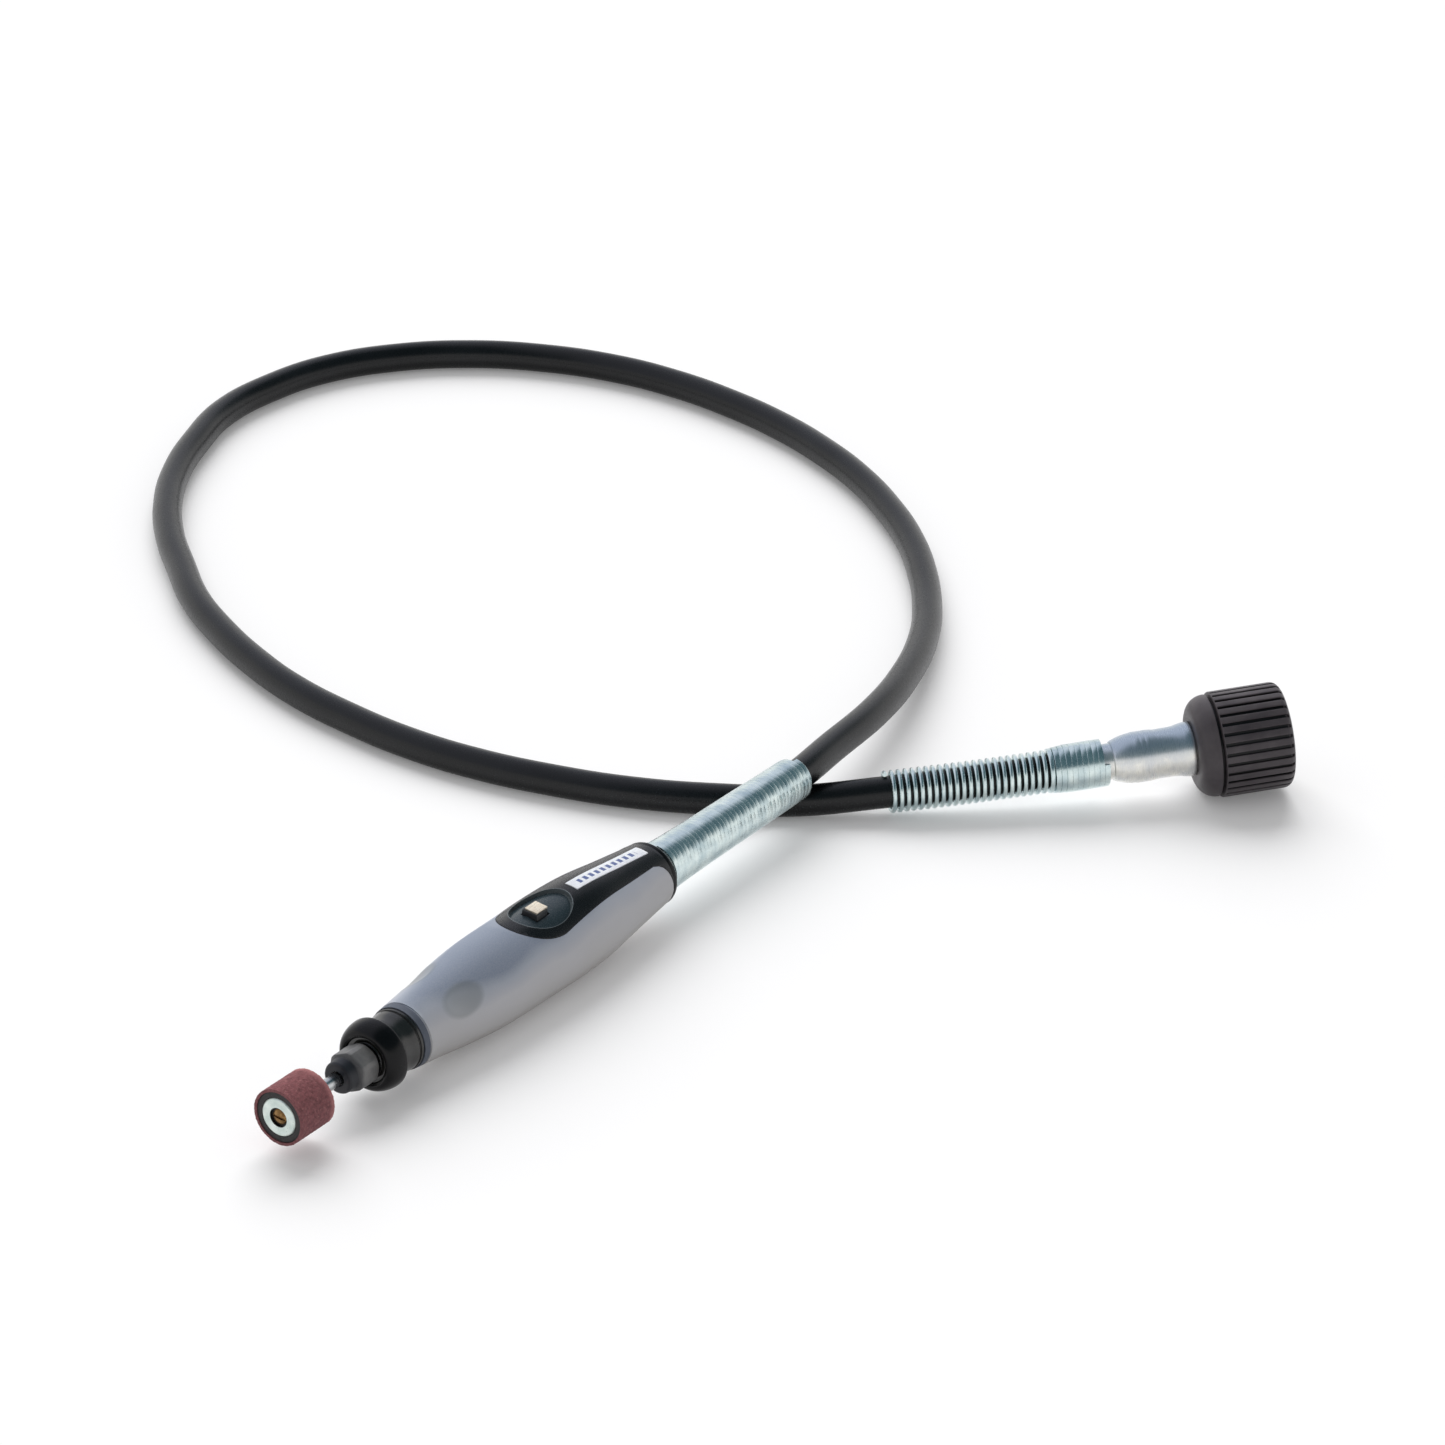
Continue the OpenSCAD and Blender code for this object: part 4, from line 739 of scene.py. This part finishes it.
# radius of the grip, as a smooth curve through its listed swell
def gripRadius(place):
    share = max(0, min(1, (place - gripFrom) / (gripTo - gripFrom)))
    k = max(n for n in range(len(swell) - 1) if n == 0 or share >= swell[n][0])
    width = swell[k + 1][0] - swell[k][0]
    t = (share - swell[k][0]) / width
    rise = swell[k + 1][1] - swell[k][1]
    startSlope, endSlope = slopeAt(k) * width, slopeAt(k + 1) * width
    curve = startSlope + t * (3 * rise - 2 * startSlope - endSlope + t * (startSlope + endSlope - 2 * rise))
    return swell[k][1] + t * curve


# a line over the grip's skin, as an outline
def skinLine(places, rise):
    return [(place, gripRadius(place) + rise) for place in places]


panelShape = {"half": 8.2, "tailHalf": 4.6, "wideAt": 43.9, "nose": 12.5, "rise": 0.1, "wall": 1.9,
              "lowest": 7.7, "gap": 0.12, "edge": 0.3, "holeEdge": 0.12,
              "along": 48, "around": 144, "noseSteps": 15,
              "tailFlare": [(5.2, 0.4), (3.4, 0.75), (2.2, 1.3), (1.3, 2.1), (0.6, 3.0), (0, 3.6)]}
panelWide = gripTo - panelShape["wideAt"]
panelFrom = panelWide - panelShape["nose"] - 1
buttonShape = {"back": 1.5, "length": 4.6, "width": 4.4, "gap": 0.25, "foot": 0.75, "footThick": 0.55,
               "wellRoom": 1.25, "wellFloor": 6.7, "edge": 0.18, "capEdge": 0.12, "capInset": 0.45,
               "capGap": 0.03, "skirtGap": 0.05, "springRoom": 1.6, "springTop": 10.48}
dishShape = {"ahead": 2.0, "halfLength": 9.3, "halfWidth": 6.3, "depth": 1.0, "cutRadius": 16,
             "along": 24, "around": 144, "rimSteps": 72}
buttonPlace = panelWide - buttonShape["back"]
clearAbove = 20  # over every piece of the handpiece


def panelOutline(extra):
    halves = (-panelShape["nose"] - extra, panelShape["half"] + extra)
    side = arc((panelWide, 0), halves, 0, 90, panelShape["noseSteps"])
    side += [(gripTo - back, panelShape["tailHalf"] + out + extra) for back, out in panelShape["tailFlare"]]
    side.append((gripTo + extra, side[-1][1]))
    return side + [(x, -y) for x, y in reversed(side[1:])]


def panelInner(place):
    return max(gripRadius(place) + panelShape["rise"] - panelShape["wall"], panelShape["lowest"])


# a band of the grip's own skin, from below the panel to above it
def skinBand(name, end, rise, sink):
    places = evenly(panelFrom, end, panelShape["along"])
    inside = [(place, panelInner(place) - sink) for place in reversed(places)]
    return turned(name, skinLine(places, rise) + inside, panelShape["around"])


# a block about the button's middle, wider than the button by a step on each side
def buttonBlock(name, step, low):
    half, wide = buttonShape["length"] / 2 + step, buttonShape["width"] / 2 + step
    return block(name, (buttonPlace - half, buttonPlace + half), (-wide, wide), (low, clearAbove))


def dentBall(piece, turn):
    place = gripFrom + gripShape["dimpleAt"]
    reach = gripRadius(place) + gripShape["dimpleBall"] - gripShape["dimpleDepth"]
    centre = Vector((place, -reach * math.sin(math.radians(turn)), reach * math.cos(math.radians(turn))))
    for vertex in piece.data.vertices:
        away = vertex.co - centre
        over = (away.length - gripShape["dimpleBall"]) / gripShape["dimpleBlend"]
        if over < 1:
            smoothOver = (over + 1) ** 2 / 4 if over > -1 else 0.0
            distance = gripShape["dimpleBall"] + gripShape["dimpleBlend"] * smoothOver
            vertex.co = centre + away.normalized() * distance


def makeGrip():
    low, high = gripShape["lipRoom"]
    outline = skinLine([place for place in evenly(gripFrom, gripTo, gripShape["along"])
                        if not low < place - gripFrom < high], 0)
    outline += [(place, gripRadius(place) - depth) for place, depth in shifted(gripFrom, gripShape["lip"])]
    outline.sort()
    outline += [(place, gripShape["bore"]) for place in evenly(gripTo, gripFrom, gripShape["boreSteps"])]
    piece = turned("grip_sleeve", outline, gripShape["around"])
    for turn in (gripShape["dimpleTurn"], -gripShape["dimpleTurn"]):
        dentBall(piece, turn)
    pocket = skinBand("pocket", gripTo + 1, 3, panelShape["gap"])
    cut(pocket, raised("window", panelOutline(panelShape["gap"]), 0, clearAbove), "INTERSECT")
    cut(piece, pocket)
    cut(piece, buttonBlock("well", buttonShape["wellRoom"], buttonShape["wellFloor"]))
    bevelled(piece, gripShape["edge"], 2)
    seat(piece, inHand, "handle", "gripPlastic", "grip_shell")


labelShape = {"end": 3.0, "length": 28.5, "width": 3.6, "sunk": 0.25, "floor": 0.05, "rise": 0.15,
              "gap": 0.12, "edge": 0.06, "along": 24, "around": 288}


# a strip of the panel's skin where the label lies
def labelBand(name, rise, sink, side):
    end = gripTo - labelShape["end"] + side
    start = end - labelShape["length"] - 2 * side
    places = evenly(start, end, labelShape["along"])
    top = panelShape["rise"]
    outline = skinLine(places, top + rise) + skinLine(places[::-1], top - sink)
    piece = turned(name, outline, labelShape["around"])
    half = labelShape["width"] / 2 + side
    cut(piece, block("labelEdges", (start - 1, end + 1), (-half, half), (0, clearAbove)), "INTERSECT")
    return piece


def makePanel():
    piece = skinBand("panel_cover", gripTo, panelShape["rise"], 0)
    cut(piece, raised("outline", panelOutline(0), 0, clearAbove), "INTERSECT")
    bevelled(piece, panelShape["edge"], 3, 50)
    middle, reach = buttonPlace + dishShape["ahead"], dishShape["halfLength"]
    places = evenly(middle + reach + 1, middle - reach - 1, dishShape["along"])
    outline = [(places[end], dishShape["cutRadius"]) for end in (-1, 0)]
    outline += skinLine(places, panelShape["rise"] - dishShape["depth"])
    dish = turned("dish", outline, dishShape["around"])
    rim = arc((middle, 0), (reach, dishShape["halfWidth"]), 0, 360, dishShape["rimSteps"])[:-1]
    cut(dish, raised("dishRim", rim, 0, clearAbove), "INTERSECT")
    cut(piece, dish)
    cut(piece, labelBand("labelRecess", 1, labelShape["sunk"], labelShape["gap"]))
    cut(piece, buttonBlock("hole", buttonShape["gap"], 0))
    bevelled(piece, panelShape["holeEdge"], 2, 50)
    seat(piece, inHand, "handle", "panelPlastic", "top_panel")


def makeLabel():
    piece = labelBand("label_strip", labelShape["rise"], labelShape["sunk"] - labelShape["floor"], 0)
    bevelled(piece, labelShape["edge"], 2, 50)
    seat(piece, inHand, "handle", "labelFilm", "label_plate")


makeGrip()
makePanel()
makeLabel()
print("stage: grip, panel and label made")


def makeTurned(name, nodeName, place, body, finish, outline, edge=0.15, steps=128):
    piece = turned(name, outline, steps)
    bevelled(piece, edge)
    seat(piece, place, body, finish, nodeName)


guardShape = {"lip": 2.4, "bore": 5.65, "crestShare": 0.78, "mouthFrom": 1.4, "mouthTo": 0.5,
              "mouthDrop": 0.6, "steps": 12}


def makeGuard(lip, bore, crestShare, mouthFrom, mouthTo, mouthDrop, steps):
    start, end, radius = reachOf("guard_flange", inHand)
    crest, rim = start + crestShare * (end - start), radius - lip
    outline = [(start + mouthFrom, bore), (start + mouthTo, rim - mouthDrop)]
    outline += arc((crest, rim), (crest - start, lip), 180, 90, steps)
    outline += arc((crest, rim), (end - crest, lip), 90, 0, steps)[1:] + [(end, bore)]
    makeTurned("finger_guard", "guard_flange", inHand, "handle", "glossBlack", outline)


# the neck's outside runs from the guard to the grip, with a waist, a groove and a ring
neckShape = {"spigot": 5.6, "bore": 4.3, "guardTo": 36.8, "neckTo": 43.35, "inner": 5.98,
             "threadBore": 5.0, "threadFrom": 43.75, "edge": 0.12,
             "outside": [(36.8, 7.3), (38.4375, 7.1), (40.4025, 7.2), (41.95, 7.48), (41.95, 7.25),
                         (42.45, 7.25), (42.45, 7.6), (43.35, 7.6)]}


def makeNeck(spigot, bore, guardTo, neckTo, inner, threadBore, threadFrom, edge, outside):
    start, end, _ = reachOf("nose_collar", inHand)
    makeTurned("neck_sleeve", "nose_collar", inHand, "handle", "neckBlack", [
        (start, bore), (start, spigot), (guardTo, spigot), *outside, (neckTo, inner), (end, inner),
        (end, threadBore), (threadFrom, threadBore), (threadFrom, bore)], edge)


tailRingShape = {"bore": 6.9, "flat": 1.2, "back": [(-0.6, 7.8), (-0.15, 7.58), (0, 7.2)], "edge": 0.2}


def makeTailRing(bore, flat, back, edge):
    start, end, radius = reachOf("tail_ring", inHand)
    makeTurned("tail_collar", "tail_ring", inHand, "handle", "glossBlack", [
        (start, bore), (start, radius), (start + flat, radius), *shifted(end, back), (end, bore)], edge)


makeGuard(**guardShape)
makeNeck(**neckShape)
makeTailRing(**tailRingShape)
print("stage: neck, guard and tail ring made")


# stands a piece that was made along X up under the button
def stood(piece):
    pick(piece)
    piece.rotation_euler = (0, -math.pi / 2, 0)
    piece.location = (buttonPlace, 0, 0)
    bpy.ops.object.transform_apply(location=True, rotation=True, scale=True)
    return piece


def makeButton(length, width, foot, footThick, edge, capEdge, capInset, capGap, skirtGap, springRoom,
               springTop, **others):
    low, high, _ = reachOf("lock_button", inHand)
    footLow, capLow = heightsOf("lock_button")
    footTop, top = footLow + footThick, heightsOf("button_cap")[1]
    capThick = top - capLow
    front, back, wide = buttonPlace - length / 2, buttonPlace + length / 2, width / 2
    body = block("lock_key", (front, back - capThick - capGap), (-wide, wide), (footLow, capLow))
    cut(body, block("flange", (low, high), (-wide - foot, wide + foot), (footLow, footTop)), "UNION")
    bevelled(body, edge, 2, 50)
    cut(body, stood(rod("well", springRoom, 0, springTop, 32)))
    seat(body, inHand, "lock_button", "buttonPlastic", "lock_button")
    across = (capInset - wide, wide - capInset)
    cap = block("key_cap", (front + capInset, back), across, (capLow, top))
    skirt = block("skirt", (back - capThick, back), across, (footTop + skirtGap, top - capThick / 2))
    cut(cap, skirt, "UNION")
    bevelled(cap, capEdge, 3, 50)
    seat(cap, inHand, "lock_button", "capMetal", "button_cap")


lockSpring = {"wire": 0.175, "outer": 1.425, "turns": 3.75}


# the button's return spring, which closes up as the button goes down
def makeLockSpring(wire, outer, turns):
    low, high = heightsOf("lock_spring")
    coil = wound("button_spring", wire, [(0, low + wire), (turns, high - wire)], [(low, outer)], 8, 32)
    piece = stood(coil)
    seat(piece, inHand, "handle", "springSteel", "lock_spring", smooth=60)
    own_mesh(piece)


makeButton(**buttonShape)
makeLockSpring(**lockSpring)
print("stage: lock button made")


nutShape = {"front": [(0, 1.9), (0, 3.3), (0.18, 3.68), (0.6, 3.9), (3.0, 4.1), (3.5, 5.0)],
            "body": 5.0, "chamfer": 0.45, "thread": 3.56,
            "inside": [(5.25, 3.56), (5.15, 3.15), (0.95, 2.3), (0.95, 1.9)], "flats": 9.2, "edge": 0.14}


def makeNut(front, body, chamfer, thread, inside, flats, edge):
    start, end, _ = reachOf("collet_nut", inHand)
    piece = turned("collet_nut_body", shifted(start, front) + [
        (end - chamfer, body), (end, body - chamfer), (end, thread)] + shifted(start, inside))
    corner = flats / 2 / math.cos(math.radians(30))
    cut(piece, rod("hexagon", corner, start - 1, end + 1, 6), "INTERSECT")
    bevelled(piece, edge, 3, 20)
    seat(piece, inHand, "collet_nut", "nutSteel", "collet_nut")


mandrelShape = {"shank": 1.6, "hub": 2.2, "flange": 4.65, "flangeFrom": -0.2, "flangeTo": 0.75,
                "fillet": 0.15, "tip": 0.4, "bore": 1.31, "boreTo": 8.5, "edge": 0.1}


def makeMandrel(shank, hub, flange, flangeFrom, flangeTo, fillet, tip, bore, boreTo, edge):
    start, end, _ = reachOf("mandrel", inHand)
    bandEnd = reachOf("sanding_band", inHand)[1]
    front, back = bandEnd + flangeFrom, bandEnd + flangeTo
    piece = turned("drum_mandrel", [
        (start, bore), (start, hub), (front, hub), (front, flange), (back, flange),
        (back, shank + fillet), (back + fillet, shank), (end - tip, shank), (end, shank - tip), (end, 0),
        (boreTo, 0), (boreTo, bore)], 96)
    bevelled(piece, edge, 2)
    seat(piece, inHand, "mandrel", "groundSteel", "mandrel")


rubberShape = {"seatAt": 1.25, "bore": 2.26, "pocket": 4.71, "lead": (0.1, 0.14), "edge": 0.14}


def makeRubber(seatAt, bore, pocket, lead, edge):
    start, end, radius = reachOf("rubber_drum", inHand)
    makeTurned("drum_rubber", "rubber_drum", inHand, "mandrel", "drumRubber", [
        (seatAt, bore), (seatAt, pocket), (start + lead[0], pocket), (start, pocket + lead[1]),
        (start, radius), (end, radius), (end, bore)], edge)


washerShape = {"seatAt": 0.75, "bore": 1.35, "pocket": 2.3, "lead": 0.12, "corner": 0.25, "edge": 0.06}


def makeWasher(seatAt, bore, pocket, lead, corner, edge):
    start, end, radius = reachOf("front_washer", inHand)
    makeTurned("clamp_washer", "front_washer", inHand, "mandrel", "washerPlate", [
        (seatAt, bore), (seatAt, pocket), (start + lead, pocket), (start, pocket + lead),
        (start, radius - corner), (start + corner, radius), (end, radius), (end, bore)], edge)


screwShape = {"thread": 1.25, "headLength": 0.6, "dome": [(0.02, 1.1), (0.14, 0.5), (0.4, 0), (0.6, 0)],
              "tip": (0.3, 0.35), "slot": 0.6, "slotDepth": 0.42, "edge": 0.05}


def makeScrew(thread, headLength, dome, tip, slot, slotDepth, edge):
    start, end, radius = reachOf("drum_screw", inHand)
    outline = [(start, 0)] + [(start + place, radius - inset) for place, inset in dome]
    outline += [(start + headLength, thread), (end - tip[0], thread), (end, thread - tip[1]), (end, 0)]
    piece = turned("clamp_screw", outline, 64, closed=False)
    across = (-radius - 1, radius + 1)
    cut(piece, block("slot", (start - 1, start + slotDepth), across, (-slot / 2, slot / 2)))
    bevelled(piece, edge, 2)
    seat(piece, inHand, "drum_screw", "screwBrass", "drum_screw")


bandShape = {"wall": 0.75, "skin": 0.1, "depth": 0.16, "rows": 76, "columns": 288, "gritSize": 0.42}


def makeBand(wall, skin, depth, rows, columns, gritSize):
    start, end, radius = reachOf("sanding_band", inHand)
    outside = [(place, radius) for place in evenly(start, end, rows)]
    piece = turned("abrasive_sleeve", outside + [(end, radius - wall), (start, radius - wall)], columns)
    outer = piece.vertex_groups.new(name="outer")
    outer.add([vertex.index for vertex in piece.data.vertices
               if math.hypot(vertex.co.y, vertex.co.z) > radius - skin], 1.0, "REPLACE")
    grit = bpy.data.textures.new("grit", "VORONOI")
    grit.noise_scale = gritSize
    grit.distance_metric = "DISTANCE"
    applied(piece, "DISPLACE", texture=grit, texture_coords="LOCAL", strength=depth, mid_level=1.0,
            vertex_group="outer", direction="NORMAL")
    seat(piece, inHand, "sanding_band", "abrasive", "sanding_band", smooth=50)


makeNut(**nutShape)
makeMandrel(**mandrelShape)
makeRubber(**rubberShape)
makeWasher(**washerShape)
makeScrew(**screwShape)
makeBand(**bandShape)
print("stage: collet nut and drum made")


# the ferrule's outlines, as [place, radius] from the spring's free end
ferruleShape = {
    "front": [(46.55, 4.08), (46.55, 4.5), (56.95, 4.5), (56.95, 4.9), (57.598, 5.17), (58.678, 5.548),
              (59.92, 5.8855), (61.27, 6.1555), (62.35, 6.25)],
    "crimps": 3, "crimpFrom": 62.6, "crimpTo": 66.7, "crest": 6.35, "slope": 0.01, "lead": 0.1,
    "ramp": 0.1, "groove": 0.2, "depth": 0.03,
    "barrel": [(67.35, 6.25), (68.35, 6.1), (72.05, 6.16), (73.55, 6.32), (74.95, 6.63), (75.65, 6.75),
               (77.15, 6.75), (77.15, 6.1), (84.72, 6.1), (84.72, 5.75), (85.48, 5.75), (85.48, 6.1)],
    "inside": [(87.25, 6.1), (87.25, 3.68), (75.15, 3.68), (75.15, 2.0), (59.7, 2.0), (59.7, 4.08)],
    "edge": 0.1, "steps": 144}


def makeFerrule(front, crimps, crimpFrom, crimpTo, crest, slope, lead, ramp, groove, depth, barrel, inside,
                edge, steps):
    outline = list(front)
    edges = evenly(crimpFrom, crimpTo, crimps)
    for low, high in zip(edges, edges[1:]):
        outline += [(low + lead, crest - slope), (high - groove - ramp, crest),
                    (high - groove, crest - depth), (high, crest - depth)]
    makeTurned("casing_barrel", "casing_ferrule", inCoupling, "handle", "aluminium",
               outline + barrel + inside, edge, steps)


knobShape = {"collar": 12.75, "dome": (4.7, 4.3), "domeSteps": 10, "collarTo": 82.3, "ribFrom": 83.15,
             "seamRadius": 11.0, "rib": 13.2, "ribLead": 0.25, "grooveLead": 0.2, "rim": 2.0,
             "rimSteps": 8, "ribs": 32, "columnsPerRib": 6, "sunkColumns": 2, "grooveDepth": 0.7,
             "hole": 6.16, "roomRadius": 9.8, "roomFrom": 84.45, "insertFrom": 87.8,
             "insertRadius": 11.0, "nudge": 0.001, "edge": 0.13}


def makeKnob(collar, dome, domeSteps, collarTo, ribFrom, seamRadius, rib, ribLead, grooveLead, rim,
             rimSteps, ribs, columnsPerRib, sunkColumns, grooveDepth, hole, roomRadius, roomFrom,
             insertFrom, insertRadius, nudge, edge):
    start, end, _ = reachOf("coupling_nut", inCoupling)
    outline = [(start, hole)]
    outline += arc((start + dome[0], collar - dome[1]), (-dome[0], dome[1]), 0, 90, domeSteps)
    outline += [(collarTo, collar), (collarTo, seamRadius), (ribFrom, seamRadius),
                (ribFrom, rib - ribLead), (ribFrom + ribLead, rib)]
    outline += arc((end - rim, rib - rim), (rim, rim), 90, 0, rimSteps)
    outline += [(end, insertRadius), (insertFrom, insertRadius), (insertFrom, roomRadius),
                (roomFrom, roomRadius), (roomFrom, hole)]
    columns = ribs * columnsPerRib
    piece = turned("ribbed_nut", outline, columns)
    pick(piece)
    editAll("DESELECT")
    bpy.ops.mesh.select_mode(type="FACE")
    bpy.ops.object.mode_set(mode="OBJECT")
    for face in piece.data.polygons:
        out = math.hypot(face.center.y, face.center.z)
        around = math.atan2(face.center.y, face.center.z) / (2 * math.pi) % 1
        sunk = math.floor(around * columns + nudge) % columnsPerRib < sunkColumns
        face.select = sunk and face.center.x > ribFrom + grooveLead and out > rib - grooveDepth
    bpy.ops.object.mode_set(mode="EDIT")
    bpy.ops.mesh.extrude_region()
    shrink = (rib - grooveDepth) / rib
    bpy.ops.transform.resize(value=(1, shrink, shrink), center_override=(0, 0, 0))
    facesOut()
    bevelled(piece, edge, 2, 40)
    seat(piece, inCoupling, "coupling_nut", "knobPlastic", "coupling_nut")


threadShape = {"outer": 10.97, "root": 8.95, "crest": 8.4, "pitch": 1.25, "endRoom": 0.6, "sunk": 0.1,
               "lead": (0.4, 0.2), "edge": 0.08}


def makeThread(outer, root, crest, pitch, endRoom, sunk, lead, edge):
    start, end, _ = reachOf("thread_insert", inCoupling)
    piece = turned("nut_thread", [(start, root), (start, outer), (end, outer), (end, root + lead[1]),
                                  (end - lead[0], root)])
    bevelled(piece, edge, 2)
    turns = (end - start - 2 * endRoom) / pitch
    ridge = wound("ridge", (root + sunk - crest) / 2, [(0, start + endRoom), (turns, end - endRoom)],
                  [(start, root + sunk)], 8, 64)
    pick(piece)
    ridge.select_set(True)
    bpy.ops.object.join()
    seat(piece, inCoupling, "coupling_nut", "brass", "thread_insert")


makeFerrule(**ferruleShape)
makeKnob(**knobShape)
makeThread(**threadShape)
print("stage: coupling made")


innerFinishes = {
    "framePlastic": ["inner_frame"],
    "tailAluminium": ["bearing_tube", "tail_bush", "outer_spacer", "inner_spacer"],
    "bearingSteel": ["front_race_outer", "rear_race_outer", "front_race_inner", "rear_race_inner",
                     "front_balls", "rear_balls"],
    "springSteel": ["wave_washer"],
    "blackOxide": ["tube_clip", "spindle_clip", "coupling_clip", "set_screws"],
    "bronze": ["pin_guide", "ferrule_bushing"],
    "groundSteel": ["spindle", "collet", "lock_pin"],
    "coreSteel": ["casing_liner", "drive_core", "core_end", "drive_tip"],
}
for finishName, nodeNames in innerFinishes.items():
    for nodeName in nodeNames:
        nodeMesh = frame["nodes"][nodeName].data
        nodeMesh.materials.clear()
        nodeMesh.materials.append(finishes[finishName])
print("stage: inner pieces finished")

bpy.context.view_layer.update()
deselectAll()
